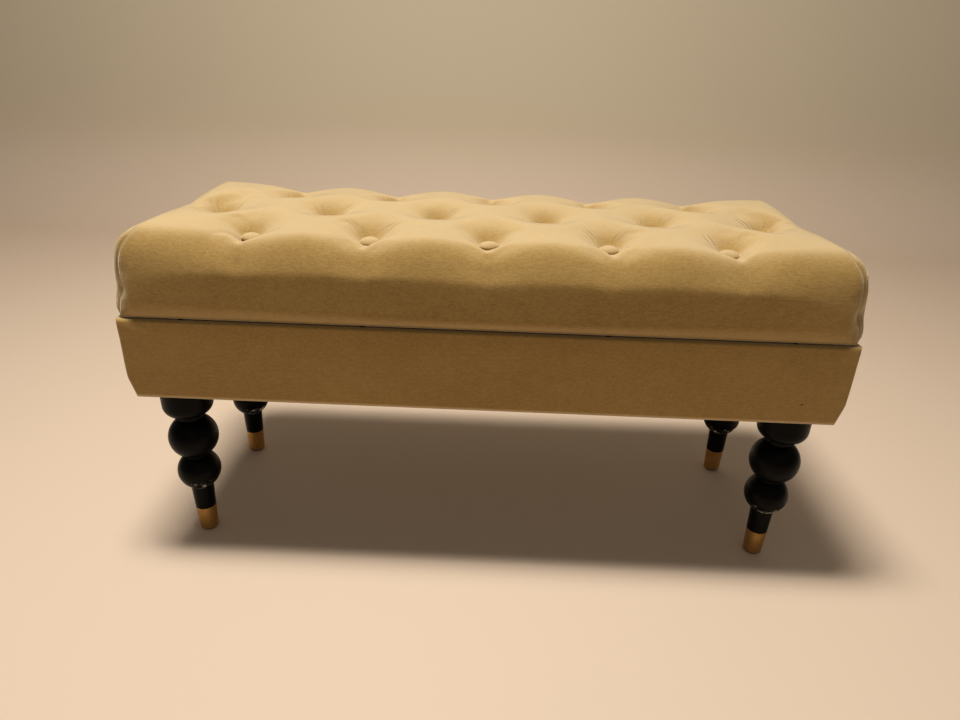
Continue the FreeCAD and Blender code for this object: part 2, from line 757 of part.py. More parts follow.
def stay_arm(label, side, near, start, end, hole_radii):
    """Make a flat arm between two pivots in the YZ plane, with round ends and a hole at each."""
    run_y, run_z = end[0] - start[0], end[1] - start[1]
    length = hypotenuse(run_y, run_z)
    across_y, across_z = run_z / length * (d.arm_width / 2), -run_y / length * (d.arm_width / 2)
    body = new_body(label)
    bar = new_sketch(body, "YZ_Plane")
    outline(bar, [
        (start[0] + across_y, start[1] + across_z),
        (end[0] + across_y, end[1] + across_z),
        (end[0] - across_y, end[1] - across_z),
        (start[0] - across_y, start[1] - across_z),
    ])
    extrude(body, "Pad", bar, d.arm_thickness)
    for centre in (start, end):
        eye = new_sketch(body, "YZ_Plane")
        circle(eye, centre, d.arm_width / 2)
        extrude(body, "Pad", eye, d.arm_thickness)
    for centre, radius in zip((start, end), hole_radii):
        hole = new_sketch(body, "YZ_Plane")
        circle(hole, centre, radius)
        pocket = extrude(body, "Pocket", hole, d.arm_thickness)
        pocket.Reversed = True
    low_x, _ = slab_span(side, near, near + d.arm_thickness)
    put(body, (low_x, 0, 0))
    keep(label, body)
    return body


def rivet(name, side, far, near, centre):
    """Make a rivet that runs from a far face inwards to a head just past a near face."""
    shank_low, shank_high = slab_span(side, near, far)
    head_low, _ = slab_span(side, near - d.rivet_head_height, near)
    return fuse(name, [
        rod(f"{name}_shank", d.rivet_radius, shank_high - shank_low, (shank_low, *centre), "x"),
        rod(f"{name}_head", d.rivet_head_radius, d.rivet_head_height, (head_low, *centre), "x"),
    ])


def stay_pieces():
    """Make both folding stays with their brackets and rivets."""
    box_pivot, elbow = (stay_box_y, stay_box_z), (elbow_y, elbow_z)
    lid_pivot = (stay_lid_y, stay_lid_z)
    snug = d.rivet_radius + d.fastener_clearance / 2
    loose = d.rivet_radius + d.arm_clearance
    gap = d.arm_clearance / 2
    box_rivets, lid_rivets = [], []
    for name, side in SIDES.items():
        low_x, high_x = slab_span(side, stay_plate_face, room_length)
        half_plate = d.bracket_length / 2
        plate = block(f"{name}_stay_plate",
                      (low_x, stay_box_y - d.arm_width / 2, stay_box_z - half_plate),
                      (high_x, stay_box_y + d.arm_width / 2, stay_box_z + half_plate))
        places = stay_plate_screw_places(side)
        sinks = screw_sinks(f"{name}_stay_plate_sinks", places, Vector(0, 1, 0), -90 * side)
        pivot_hole = rod(f"{name}_stay_plate_hole", snug, d.bracket_thickness, (low_x, *box_pivot), "x")
        label = f"{name}_stay_box_bracket"
        keep(label, cut(label, plate, [sinks, pivot_hole]))
        box_rivets.append(rivet(f"{name}_box_rivet", side, room_length, lower_arm_near - gap, box_pivot))

        stay_arm(f"{name}_stay_lower_arm", side, lower_arm_near, box_pivot, elbow, (snug, snug))
        stay_arm(f"{name}_stay_upper_arm", side, upper_arm_near, elbow, lid_pivot, (snug, loose))
        label = f"{name}_stay_elbow_rivet"
        keep(label, rivet(label, side, lower_arm_far, upper_arm_near - gap, elbow))

        ear_low, ear_high = slab_span(side, lower_arm_near, lower_arm_far)
        flange_low, flange_high = slab_span(side, lower_arm_near - flange_width, lower_arm_far)
        ear_half = d.arm_width / 2
        ear = fuse(f"{name}_lid_bracket_blank", [
            block(f"{name}_ear", (ear_low, stay_lid_y - ear_half, stay_lid_z),
                  (ear_high, stay_lid_y + ear_half, lid_bottom)),
            rod(f"{name}_ear_end", ear_half, d.arm_thickness, (ear_low, *lid_pivot), "x"),
            block(f"{name}_flange", (flange_low, stay_lid_y - flange_width, lid_bottom - d.bracket_thickness),
                  (flange_high, stay_lid_y + flange_width, lid_bottom)),
        ])
        places = [(stay_flange_x * side, stay_lid_y + step, lid_bottom - d.bracket_thickness)
                  for step in (-stay_screw_step / 2, stay_screw_step / 2)]
        sinks = screw_sinks(f"{name}_flange_sinks", places, Vector(1, 0, 0), 180)
        pivot_hole = rod(f"{name}_ear_hole", snug, d.arm_thickness, (ear_low, *lid_pivot), "x")
        label = f"{name}_stay_lid_bracket"
        keep(label, cut(label, ear, [sinks, pivot_hole]))
        lid_rivets.append(rivet(f"{name}_lid_rivet", side, lower_arm_far, upper_arm_near - gap, lid_pivot))
    keep("stay_box_rivets", bundle("stay_box_rivets", box_rivets), 2)
    keep("stay_lid_rivets", bundle("stay_lid_rivets", lid_rivets), 2)


# ---------------------------------------------------------------- build, check and write

def check_and_write():
    """Stop on any failed object, then write one STEP file for each piece."""
    for item in document.Objects:
        if "Invalid" in item.State or "Error" in item.State:
            raise RuntimeError(f"{item.Name} failed: {item.State}")
    os.makedirs("parts", exist_ok=True)
    for label, (item, solids) in nodes.items():
        shape = item.Shape
        if shape.isNull() or not shape.isValid():
            raise RuntimeError(f"{label} has no valid shape")
        if len(shape.Solids) != solids:
            raise RuntimeError(f"{label} has {len(shape.Solids)} solids, expected {solids}")
        shape.exportStep(f"parts/{label}.step")
    print(f"{len(nodes)} pieces written")


box_pieces()
leg_pieces()
lid_pieces()
hinge_pieces()
stay_pieces()
document.recompute()
check_and_write()
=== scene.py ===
"""Velvet piano bench with a button-tufted lid over a storage box: its looks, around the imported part.

Frame: +X to the right end, +Y to the back, +Z up, in metres, with the origin on the floor under the box.
"""
import logging
import math
from dataclasses import dataclass
from enum import Enum
from typing import Callable, Iterable, Sequence

import bmesh
import bpy
from mathutils import Euler, Matrix, Vector, noise


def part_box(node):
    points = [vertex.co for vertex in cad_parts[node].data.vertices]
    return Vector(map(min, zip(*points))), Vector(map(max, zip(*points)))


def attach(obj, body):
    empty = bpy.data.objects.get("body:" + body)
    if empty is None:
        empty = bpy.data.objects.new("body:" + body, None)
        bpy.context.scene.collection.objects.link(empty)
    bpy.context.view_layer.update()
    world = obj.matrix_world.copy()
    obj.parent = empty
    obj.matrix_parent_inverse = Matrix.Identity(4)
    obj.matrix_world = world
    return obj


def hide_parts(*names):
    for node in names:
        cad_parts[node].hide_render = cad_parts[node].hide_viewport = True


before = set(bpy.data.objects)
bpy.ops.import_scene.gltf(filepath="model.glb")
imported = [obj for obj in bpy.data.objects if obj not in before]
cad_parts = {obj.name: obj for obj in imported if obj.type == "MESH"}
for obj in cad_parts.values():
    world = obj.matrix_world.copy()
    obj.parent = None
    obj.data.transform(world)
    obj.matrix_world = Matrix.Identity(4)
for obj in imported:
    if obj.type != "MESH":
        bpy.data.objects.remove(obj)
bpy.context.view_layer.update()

log = logging.getLogger("piano_bench")

Colour = tuple[float, float, float]


def srgb(red: int, green: int, blue: int) -> Colour:
    """Turn a colour of 0 to 255 into linear light.

    Args:
        red: red part.
        green: green part.
        blue: blue part.

    Returns:
        The linear colour.
    """
    parts = (red / 255, green / 255, blue / 255)
    return tuple(c / 12.92 if c <= 0.04045 else ((c + 0.055) / 1.055) ** 2.4 for c in parts)


def ramp(low: float, high: float, value: float) -> float:
    """Rise smoothly from 0 at low to 1 at high.

    Args:
        low: where the rise starts.
        high: where it ends.
        value: the place asked for.

    Returns:
        A share from 0 to 1.
    """
    share = min(1.0, max(0.0, (value - low) / (high - low)))
    return share * share * (3 - 2 * share)


def between(table: Sequence[tuple[float, float]], value: float) -> float:
    """Read a value off a short line of (place, value) pairs.

    Args:
        table: pairs in rising order of place.
        value: the place asked for.

    Returns:
        The value there, straight between neighbours.
    """
    if value <= table[0][0]:
        return table[0][1]
    for (x0, y0), (x1, y1) in zip(table, table[1:]):
        if value <= x1:
            return y0 + (y1 - y0) * (value - x0) / (x1 - x0)
    return table[-1][1]


class Axis(Enum):
    """The three directions of the frame."""

    X = Vector((1, 0, 0))
    Y = Vector((0, 1, 0))
    Z = Vector((0, 0, 1))


class Body(Enum):
    """The moving bodies of the bench."""

    BOX = "box"
    LID = "lid"


class Slot(Enum):
    """The record's material slots of the new pieces."""

    VELVET = "velvet"
    LINING = "lining_cloth"
    DUST_CLOTH = "dust_cloth"


# ------------------------------------------------------------------ shader building


class Graph:
    """A node tree in the making."""

    def __init__(self, tree: bpy.types.NodeTree) -> None:
        """Start with a tree's own nodes."""
        self.tree = tree
        self.column = 0

    def add(self, kind: str, **inputs: object) -> bpy.types.Node:
        """Add a node.

        Args:
            kind: the node type, without its ShaderNode prefix.
            inputs: settings of the node, or values and sockets for its inputs, by name.

        Returns:
            The new node.
        """
        node = self.tree.nodes.new(f"ShaderNode{kind}")
        node.location = (self.column * 180, 0)
        self.column += 1
        for name, value in inputs.items():
            if name in node.bl_rna.properties:
                setattr(node, name, value)
        self.feed(
            node, **{name: value for name, value in inputs.items() if name not in node.bl_rna.properties}
        )
        return node

    def set(self, node: bpy.types.Node, name: str | int, value: object) -> None:
        """Give an input a value, or link a socket to it."""
        socket = node.inputs[name] if isinstance(name, int) else node.inputs[self.match(node, name)]
        if isinstance(value, bpy.types.NodeSocket):
            self.tree.links.new(value, socket)
        elif isinstance(value, tuple) and len(value) == 3 and socket.type == "RGBA":
            socket.default_value = (*value, 1.0)
        else:
            socket.default_value = value

    def feed(self, node: bpy.types.Node, **values: object) -> None:
        """Give several inputs their values or links, by name."""
        for name, value in values.items():
            self.set(node, name.replace("_", " "), value)

    @staticmethod
    def match(node: bpy.types.Node, name: str) -> str:
        """Find an input by its name, whatever its case."""
        return next(s.name for s in node.inputs if s.name.lower() == name.lower())

    def math(self, operation: str, *values: object) -> bpy.types.NodeSocket:
        """Add a Math node.

        Args:
            operation: its operation.
            values: numbers or sockets, in order.

        Returns:
            Its result.
        """
        node = self.add("Math", operation=operation)
        for index, value in enumerate(values):
            self.set(node, index, value)
        return node.outputs[0]

    def times(self, first: object, second: object) -> bpy.types.NodeSocket:
        """Multiply two values."""
        return self.math("MULTIPLY", first, second)

    def plus(self, first: object, second: object) -> bpy.types.NodeSocket:
        """Add two values."""
        return self.math("ADD", first, second)

    def minus(self, first: object, second: object) -> bpy.types.NodeSocket:
        """Take the second value from the first."""
        return self.math("SUBTRACT", first, second)

    def without(self, value: object) -> bpy.types.NodeSocket:
        """Give what is left of 1."""
        return self.math("SUBTRACT", 1.0, value)

    def blend(self, share: object, first: object, second: object) -> bpy.types.NodeSocket:
        """Mix two colours.

        Args:
            share: how much of the second shows.
            first: the first colour.
            second: the second colour.

        Returns:
            The mixed colour.
        """
        node = self.add("Mix", data_type="RGBA")
        self.set(node, 0, share)
        self.set(node, 6, (*first, 1.0) if isinstance(first, tuple) else first)
        self.set(node, 7, (*second, 1.0) if isinstance(second, tuple) else second)
        return node.outputs[2]

    def band(self, value: object, low: float, high: float) -> bpy.types.NodeSocket:
        """Rise smoothly from 0 at low to 1 at high."""
        node = self.add("MapRange", interpolation_type="SMOOTHSTEP")
        self.set(node, "Value", value)
        self.set(node, "From Min", low)
        self.set(node, "From Max", high)
        return node.outputs[0]

    def noise(
        self, place: object, scale: object, detail: float = 3.0, rough: float = 0.55
    ) -> bpy.types.NodeSocket:
        """Add a noise pattern and return its value."""
        node = self.add("TexNoise", noise_dimensions="3D", Scale=scale, Detail=detail, Roughness=rough)
        self.set(node, "Vector", place)
        return node.outputs[0]

    def here(self, offset: tuple[float, float, float] = (0, 0, 0),
             scale: tuple[float, float, float] = (1, 1, 1)) -> bpy.types.NodeSocket:
        """Give Object coordinates, moved and stretched.

        Args:
            offset: the move, in metres.
            scale: the stretch along each axis.

        Returns:
            The vector.
        """
        place = self.add("TexCoord").outputs["Object"]
        if offset == (0, 0, 0) and scale == (1, 1, 1):
            return place
        node = self.add("Mapping")
        self.set(node, "Vector", place)
        self.set(node, "Location", offset)
        self.set(node, "Scale", scale)
        return node.outputs[0]


class Effect:
    """A shader effect that several finishes share, kept as one node group."""

    made: dict[str, bpy.types.NodeTree] = {}

    @classmethod
    def group(
        cls, name: str, inputs: dict[str, object], outputs: dict[str, str],
        build: Callable[[Graph, dict[str, bpy.types.NodeSocket]], dict[str, object]],
    ) -> bpy.types.NodeTree:
        """Build a group once.

        Args:
            name: its name.
            inputs: each input's name and default; a tuple is a colour.
            outputs: each output's name and socket type.
            build: makes the nodes and returns each output's socket.

        Returns:
            The node group.
        """
        if name in cls.made:
            return cls.made[name]
        tree = bpy.data.node_groups.new(name, "ShaderNodeTree")
        for label, default in inputs.items():
            kind = "NodeSocketColor" if isinstance(default, tuple) else "NodeSocketFloat"
            socket = tree.interface.new_socket(label, in_out="INPUT", socket_type=kind)
            socket.default_value = (*default, 1.0) if isinstance(default, tuple) else default
        for label, kind in outputs.items():
            tree.interface.new_socket(label, in_out="OUTPUT", socket_type=kind)
        graph = Graph(tree)
        entry = tree.nodes.new("NodeGroupInput")
        leave = tree.nodes.new("NodeGroupOutput")
        made = build(graph, {label: entry.outputs[label] for label in inputs})
        for label, socket in made.items():
            tree.links.new(socket, leave.inputs[label])
        cls.made[name] = tree
        return tree

    @staticmethod
    def place(graph: Graph, tree: bpy.types.NodeTree, **values: object) -> bpy.types.Node:
        """Put a group into a material.

        Args:
            graph: the material's nodes.
            tree: the group.
            values: its inputs, by name.

        Returns:
            The group node.
        """
        node = graph.tree.nodes.new("ShaderNodeGroup")
        node.node_tree = tree
        graph.feed(node, **values)
        return node


def nap_effect() -> bpy.types.NodeTree:
    """Velvet pile: brushed patches, fine cross threads and a mottled nap."""

    def build(graph: Graph, given: dict[str, bpy.types.NodeSocket]) -> dict[str, object]:
        place = graph.here()
        patches = graph.noise(graph.here(scale=(1, 1.3, 1.3)), given["Patches"], 3.0, 0.6)
        clouds = graph.noise(graph.here(offset=(0.7, 0.2, 0.4)), graph.times(given["Patches"], 7.0), 4.0, 0.6)
        pile = graph.noise(place, given["Pile"], 2.0, 0.7)
        threads = graph.noise(graph.here(scale=(0.35, 1, 1)), graph.times(given["Pile"], 0.9), 1.0, 0.5)
        shade = graph.plus(graph.times(graph.band(patches, 0.2, 0.8), 0.3),
                           graph.times(graph.band(clouds, 0.2, 0.8), 0.16))
        fine = graph.plus(graph.times(pile, 0.6), graph.times(threads, 0.4))
        shade = graph.plus(shade, graph.times(graph.band(fine, 0.3, 0.7), 0.54))
        return {
            "Color": graph.blend(shade, given["Deep"], given["Light"]),
            "Roughness": graph.minus(0.98, graph.times(shade, 0.2)),
            "Height": graph.plus(fine, graph.times(clouds, 0.5)),
        }

    return Effect.group(
        "velvet_nap",
        {"Deep": (0.3, 0.2, 0.1), "Light": (0.6, 0.5, 0.3), "Patches": 9.0, "Pile": 620.0},
        {"Color": "NodeSocketColor", "Roughness": "NodeSocketFloat", "Height": "NodeSocketFloat"}, build)


def weave_effect() -> bpy.types.NodeTree:
    """Plain weave of warp and weft threads, seen from any side, with uneven yarn."""

    def build(graph: Graph, given: dict[str, bpy.types.NodeSocket]) -> dict[str, object]:
        parts = graph.add("SeparateXYZ", Vector=graph.here())
        x, y, z = parts.outputs
        turn = graph.times(given["Threads"], math.pi)
        waves = [graph.math("SINE", graph.times(axis, turn)) for axis in (x, y, z)]
        cells = graph.times(waves[0], waves[1])
        upright = graph.times(graph.plus(waves[0], waves[1]), waves[2])
        pattern = graph.band(graph.plus(cells, graph.times(upright, 0.6)), -1.1, 1.1)
        yarn = graph.noise(graph.here(), 240.0, 3.0, 0.6)
        slub = graph.noise(graph.here(scale=(1, 12, 1)), 28.0, 2.0, 0.5)
        shade = graph.plus(graph.times(pattern, 0.5),
                           graph.times(graph.plus(yarn, slub), 0.3))
        return {
            "Color": graph.blend(shade, given["Deep"], given["Light"]),
            "Height": shade,
        }

    return Effect.group(
        "plain_weave", {"Deep": (0.2, 0.2, 0.2), "Light": (0.5, 0.5, 0.5), "Threads": 900.0},
        {"Color": "NodeSocketColor", "Height": "NodeSocketFloat"}, build)


def wear_effect() -> bpy.types.NodeTree:
    """Chips and rubs: small broken spots inside larger worn patches."""

    def build(graph: Graph, given: dict[str, bpy.types.NodeSocket]) -> dict[str, object]:
        place = graph.here(offset=(0.13, 0.37, 0.21))
        patch = graph.noise(place, given["Patch"], 3.0, 0.6)
        spot = graph.noise(place, given["Spot"], 4.0, 0.7)
        sum_of = graph.plus(graph.times(patch, 0.6), graph.times(spot, 0.4))
        gate = graph.without(given["Amount"])
        rise = graph.add("MapRange", interpolation_type="SMOOTHSTEP")
        graph.feed(
            rise,
            Value=sum_of,
            From_Min=graph.minus(gate, 0.012),
            From_Max=graph.plus(gate, 0.012),
        )
        return {"Mask": rise.outputs[0], "Height": sum_of}

    return Effect.group("wear", {"Patch": 40.0, "Spot": 420.0, "Amount": 0.35},
                        {"Mask": "NodeSocketFloat", "Height": "NodeSocketFloat"}, build)


def dust_effect() -> bpy.types.NodeTree:
    """A thin uneven film that dulls a surface."""

    def build(graph: Graph, given: dict[str, bpy.types.NodeSocket]) -> dict[str, object]:
        film = graph.noise(graph.here(offset=(0.5, 0.1, 0.9)), given["Scale"], 5.0, 0.65)
        mask = graph.times(graph.band(film, 0.42, 0.72), given["Strength"])
        return {"Mask": mask, "Color": graph.blend(mask, given["Under"], given["Dust"])}

    return Effect.group(
        "dust", {"Scale": 30.0, "Strength": 0.3, "Under": (0.1, 0.1, 0.1), "Dust": (0.4, 0.36, 0.3)},
        {"Mask": "NodeSocketFloat", "Color": "NodeSocketColor"}, build)


def grain_effect() -> bpy.types.NodeTree:
    """Rotary-cut birch: long wandering figure and fine pores."""

    def build(graph: Graph, given: dict[str, bpy.types.NodeSocket]) -> dict[str, object]:
        figure = graph.noise(graph.here(scale=(0.12, 1, 1)), given["Figure"], 4.0, 0.6)
        rings = graph.math("FRACT", graph.times(figure, 9.0))
        pores = graph.noise(graph.here(scale=(0.04, 1, 1)), 900.0, 2.0, 0.6)
        shade = graph.plus(graph.times(graph.band(rings, 0.1, 0.9), 0.5),
                           graph.times(pores, 0.5))
        return {"Color": graph.blend(shade, given["Deep"], given["Light"]), "Height": shade}

    return Effect.group("ply_grain", {"Deep": (0.3, 0.2, 0.1), "Light": (0.6, 0.5, 0.3), "Figure": 22.0},
                        {"Color": "NodeSocketColor", "Height": "NodeSocketFloat"}, build)


def tuft_pleat_effect() -> bpy.types.NodeTree:
    """Short parallel pleats that leave each tuft toward its neighbours in the next row."""

    def build(graph: Graph, given: dict[str, bpy.types.NodeSocket]) -> dict[str, object]:
        x, y, _ = graph.add("SeparateXYZ", Vector=graph.here()).outputs
        pitch_x, pitch_y = given["Pitch X"], given["Pitch Y"]
        span_y = graph.times(pitch_y, 2.0)

        def nearest(value: object, span: object, shift: object) -> bpy.types.NodeSocket:
            moved = graph.math("DIVIDE", graph.minus(value, shift), span)
            return graph.math("ABSOLUTE", graph.times(graph.minus(moved, graph.math("ROUND", moved)), span))

        half_x = graph.times(pitch_x, 0.5)
        outer_x, outer_y = nearest(x, pitch_x, 0.0), nearest(y, span_y, pitch_y)
        inner_x, inner_y = nearest(x, pitch_x, half_x), nearest(y, span_y, 0.0)

        def reach(a: object, b: object) -> bpy.types.NodeSocket:
            return graph.math("SQRT", graph.plus(graph.times(a, a), graph.times(b, b)))

        outer_far, inner_far = reach(outer_x, outer_y), reach(inner_x, inner_y)
        pick = graph.math("LESS_THAN", inner_far, outer_far)

        def choose(first: object, second: object) -> bpy.types.NodeSocket:
            gap = graph.minus(second, first)
            return graph.plus(first, graph.times(gap, pick))

        near_x, near_y = choose(outer_x, inner_x), choose(outer_y, inner_y)
        slant = reach(half_x, pitch_y)
        cos_way, sin_way = graph.math("DIVIDE", half_x, slant), graph.math("DIVIDE", pitch_y, slant)
        along = graph.plus(graph.times(near_x, cos_way), graph.times(near_y, sin_way))
        across = graph.minus(graph.times(near_x, sin_way), graph.times(near_y, cos_way))
        sway = graph.minus(graph.noise(graph.here(), 22.0, 2.0, 0.5), 0.5)
        across = graph.plus(across, graph.times(sway, 0.02))
        start = graph.band(along, 0.012, 0.022)
        fade = graph.without(graph.band(graph.plus(along, graph.times(sway, 0.05)), 0.026, 0.046))
        core = graph.without(graph.band(graph.math("ABSOLUTE", across), 0.003, 0.011))
        folds = graph.math("COSINE", graph.times(across, graph.math("DIVIDE", 2 * math.pi, given["Spacing"])))
        height = graph.times(graph.times(start, fade), graph.times(core, folds))
        inside = graph.without(graph.band(graph.math("ABSOLUTE", y), 0.098, 0.125))
        high = graph.band(graph.add("SeparateXYZ", Vector=graph.here()).outputs[2], 0.39, 0.405)
        inside = graph.times(inside, high)
        inside = graph.times(inside, graph.without(graph.band(graph.math("ABSOLUTE", x), 0.37, 0.384)))
        vary = graph.band(graph.noise(graph.here(offset=(0.31, 0.17, 0)), 14.0, 1.0, 0.5), 0.4, 0.62)
        return {"Height": graph.times(graph.times(height, inside), vary)}

    return Effect.group("tuft_pleats", {"Pitch X": 0.138, "Pitch Y": 0.095, "Spacing": 0.0074},
                        {"Height": "NodeSocketFloat"}, build)


# ------------------------------------------------------------------ finishes


@dataclass(frozen=True)
class Finish:
    """What every finish has: a name and a way to make its material."""

    name: str

    def start(self) -> tuple[bpy.types.Material, Graph, bpy.types.Node]:
        """Make the material with its shader.

        Returns:
            The material, its nodes and its shader node.
        """
        material = bpy.data.materials.new(self.name)
        material.use_nodes = True
        return material, Graph(material.node_tree), material.node_tree.nodes["Principled BSDF"]

    @staticmethod
    def bump(graph: Graph, shader: bpy.types.Node, height: object, depth: float, strength: float = 1.0,
             under: object = None) -> bpy.types.NodeSocket:
        """Feed a height into the shader's normal.

        Args:
            graph: the material's nodes.
            shader: the shader.
            height: the height pattern.
            depth: its depth in metres.
            strength: its share.
            under: a normal that it lies on, if any.

        Returns:
            The bumped normal.
        """
        node = graph.add("Bump", Height=height, Distance=depth, Strength=strength)
        if under is not None:
            graph.set(node, "Normal", under)
        graph.set(shader, "Normal", node.outputs[0])
        return node.outputs[0]


@dataclass(frozen=True)
class Velvet(Finish):
    """Short-pile gold velvet."""

    deep: Colour = srgb(140, 110, 60)
    light: Colour = srgb(172, 141, 84)
    sheen: Colour = srgb(255, 242, 218)
    sheen_weight: float = 0.6
    # The pale colour and share below are a painted sheen, mixed into the base colour where the cloth is seen
    # at a slant.
    painted_sheen: Colour = srgb(228, 206, 164)
    painted_sheen_share: float = 0.52
    stain: tuple[float, float, float] | None = None
    stain_radius: float = 0.0014
    patches: float = 8.0
    pile: float = 520.0
    tufted: bool = False
    pitch_x: float = 0.138
    pitch_y: float = 0.095

    def material(self) -> bpy.types.Material:
        """Make the velvet: nap colour, sheen, a painted sheen mixed into the base colour by viewing angle,
        painted shade in the seam groove, pile bump, seam stitches and, on the lid, tuft pleats.
        """
        material, graph, shader = self.start()
        nap = Effect.place(
            graph, nap_effect(), Deep=self.deep, Light=self.light, Patches=self.patches, Pile=self.pile
        )
        seam = graph.add("Attribute", attribute_name="seam").outputs["Fac"]
        along = graph.add("Attribute", attribute_name="along").outputs["Fac"]
        groove = graph.without(graph.band(seam, 0.0004, 0.0026))
        bead = graph.math("ABSOLUTE", graph.math("SINE", graph.times(along, math.pi / 0.0042)))
        row = graph.without(graph.band(graph.math("ABSOLUTE", graph.minus(seam, 0.0042)), 0.0004, 0.0012))
        stitch = graph.times(row, graph.band(bead, 0.25, 0.5))
        # Painted shade: inside the seam groove the base colour is darkened toward a dark brown.
        painted_seam_shade = graph.times(groove, 0.2)
        # Painted sheen: the base colour turns paler by viewing angle, read from Layer Weight Facing.
        slant = graph.add("LayerWeight", Blend=0.5).outputs["Facing"]
        painted_sheen = graph.times(graph.band(slant, 0.08, 0.9), self.painted_sheen_share)
        pile = graph.blend(painted_sheen, nap.outputs["Color"], self.painted_sheen)
        if self.stain is not None:
            away = graph.add("VectorMath", operation="DISTANCE")
            graph.set(away, 0, graph.here())
            graph.set(away, 1, self.stain)
            spot = graph.without(
                graph.band(away.outputs["Value"], self.stain_radius * 0.5, self.stain_radius * 1.6)
            )
            pile = graph.blend(graph.times(spot, 0.8), pile, srgb(52, 34, 16))
        graph.feed(
            shader,
            Base_Color=graph.blend(painted_seam_shade, pile, srgb(92, 66, 30)),
            Roughness=nap.outputs["Roughness"],
            Sheen_Weight=self.sheen_weight,
            Sheen_Roughness=0.36,
            Sheen_Tint=self.sheen,
            Specular_IOR_Level=0.16,
        )
        normal = self.bump(graph, shader, nap.outputs["Height"], 0.0007, 0.5)
        relief = graph.minus(graph.times(stitch, -0.35), groove)
        normal = self.bump(graph, shader, relief, 0.0012, 0.8, normal)
        if self.tufted:
            pleats = Effect.place(graph, tuft_pleat_effect(), Pitch_X=self.pitch_x, Pitch_Y=self.pitch_y)
            self.bump(graph, shader, pleats.outputs["Height"], 0.0010, 0.7, normal)
        return material


@dataclass(frozen=True)
class WovenCloth(Finish):
    """A plain-woven or felted cloth."""

    deep: Colour = srgb(120, 108, 90)
    light: Colour = srgb(176, 164, 142)
    threads: float = 900.0
    roughness: float = 0.9
    depth: float = 0.0003
    dust: float = 0.25

    def material(self) -> bpy.types.Material:
        """Make the cloth with its threads and a little dust."""
        material, graph, shader = self.start()
        weave = Effect.place(graph, weave_effect(), Deep=self.deep, Light=self.light, Threads=self.threads)
        dust = Effect.place(
            graph, dust_effect(), Scale=18.0, Strength=self.dust, Under=weave.outputs["Color"]
        )
        graph.feed(
            shader,
            Base_Color=dust.outputs["Color"],
            Roughness=graph.minus(self.roughness, graph.times(dust.outputs["Mask"], 0.1)),
            Sheen_Weight=0.15,
        )
        self.bump(graph, shader, weave.outputs["Height"], self.depth, 0.7)
        return material


@dataclass(frozen=True)
class Lacquer(Finish):
    """Satin black lacquer over turned wood, chipped where the balls get knocked."""

    colour: Colour = srgb(5, 5, 5)
    bare: Colour = srgb(236, 228, 212)
    chip_low: float = 0.072
    chip_high: float = 0.09

    def material(self) -> bpy.types.Material:
        """Make the lacquer: turned rings, dust, chips through to the filler."""
        material, graph, shader = self.start()
        z = graph.add("SeparateXYZ", Vector=graph.here()).outputs[2]
        wear = Effect.place(graph, wear_effect(), Patch=70.0, Spot=520.0, Amount=0.43)
        inside = graph.times(graph.band(z, self.chip_low, self.chip_low + 0.004),
                            graph.without(graph.band(z, self.chip_high - 0.004, self.chip_high)))
        chips = graph.times(wear.outputs["Mask"], inside)
        dust = Effect.place(
            graph, dust_effect(), Scale=55.0, Strength=0.008, Under=self.colour, Dust=srgb(90, 84, 76)
        )
        graph.set(shader, "Base Color", graph.blend(chips, dust.outputs["Color"], self.bare))
        rough = graph.noise(graph.here(), 90.0, 4.0, 0.6)
        graph.feed(
            shader,
            Roughness=graph.plus(0.26, graph.plus(graph.times(rough, 0.16), graph.times(chips, 0.4))),
            Specular_IOR_Level=0.07,
        )
        rings = graph.noise(graph.here(scale=(0.02, 0.02, 1)), 900.0, 2.0, 0.5)
        relief = graph.minus(graph.times(rings, 0.12), chips)
        self.bump(graph, shader, relief, 0.0003, 0.6)
        return material


@dataclass(frozen=True)
class Metal(Finish):
    """A plated or patinated metal."""

    colour: Colour = srgb(190, 140, 74)
    patina: Colour = srgb(96, 62, 26)
    roughness: float = 0.34
    tarnish: float = 0.5
    brushed: tuple[float, float, float] = (1, 1, 0.03)

    def material(self) -> bpy.types.Material:
        """Make the metal: brushed streaks, patina patches and worn spots."""
        material, graph, shader = self.start()
        wear = Effect.place(graph, wear_effect(), Patch=90.0, Spot=700.0, Amount=self.tarnish)
        clouds = graph.band(graph.noise(graph.here(), 120.0, 4.0, 0.65), 0.35, 0.7)
        shade = graph.plus(graph.times(wear.outputs["Mask"], 0.4), graph.times(clouds, 0.45))
        graph.feed(
            shader,
            Base_Color=graph.blend(shade, self.colour, self.patina),
            Metallic=graph.without(graph.times(shade, 0.25)),
        )
        streaks = graph.noise(graph.here(scale=self.brushed), 1400.0, 2.0, 0.6)
        graph.set(
            shader,
            "Roughness",
            graph.plus(
                self.roughness - 0.08,
                graph.plus(graph.times(streaks, 0.16), graph.times(shade, 0.2)),
            ),
        )
        self.bump(graph, shader, graph.plus(streaks, wear.outputs["Height"]), 0.00012, 0.5)
        return material


@dataclass(frozen=True)
class Plywood(Finish):
    """Birch plywood, planed but not varnished."""

    deep: Colour = srgb(176, 138, 92)
    light: Colour = srgb(214, 184, 140)

    def material(self) -> bpy.types.Material:
        """Make the plywood with its figure, pores and dust."""
        material, graph, shader = self.start()
        grain = Effect.place(graph, grain_effect(), Deep=self.deep, Light=self.light)
        dust = Effect.place(
            graph,
            dust_effect(),
            Scale=14.0,
            Strength=0.2,
            Under=grain.outputs["Color"],
            Dust=srgb(190, 176, 150),
        )
        graph.feed(
            shader,
            Base_Color=dust.outputs["Color"],
            Roughness=graph.plus(0.55, graph.times(grain.outputs["Height"], 0.2)),
        )
        self.bump(graph, shader, grain.outputs["Height"], 0.0002, 0.5)
        return material


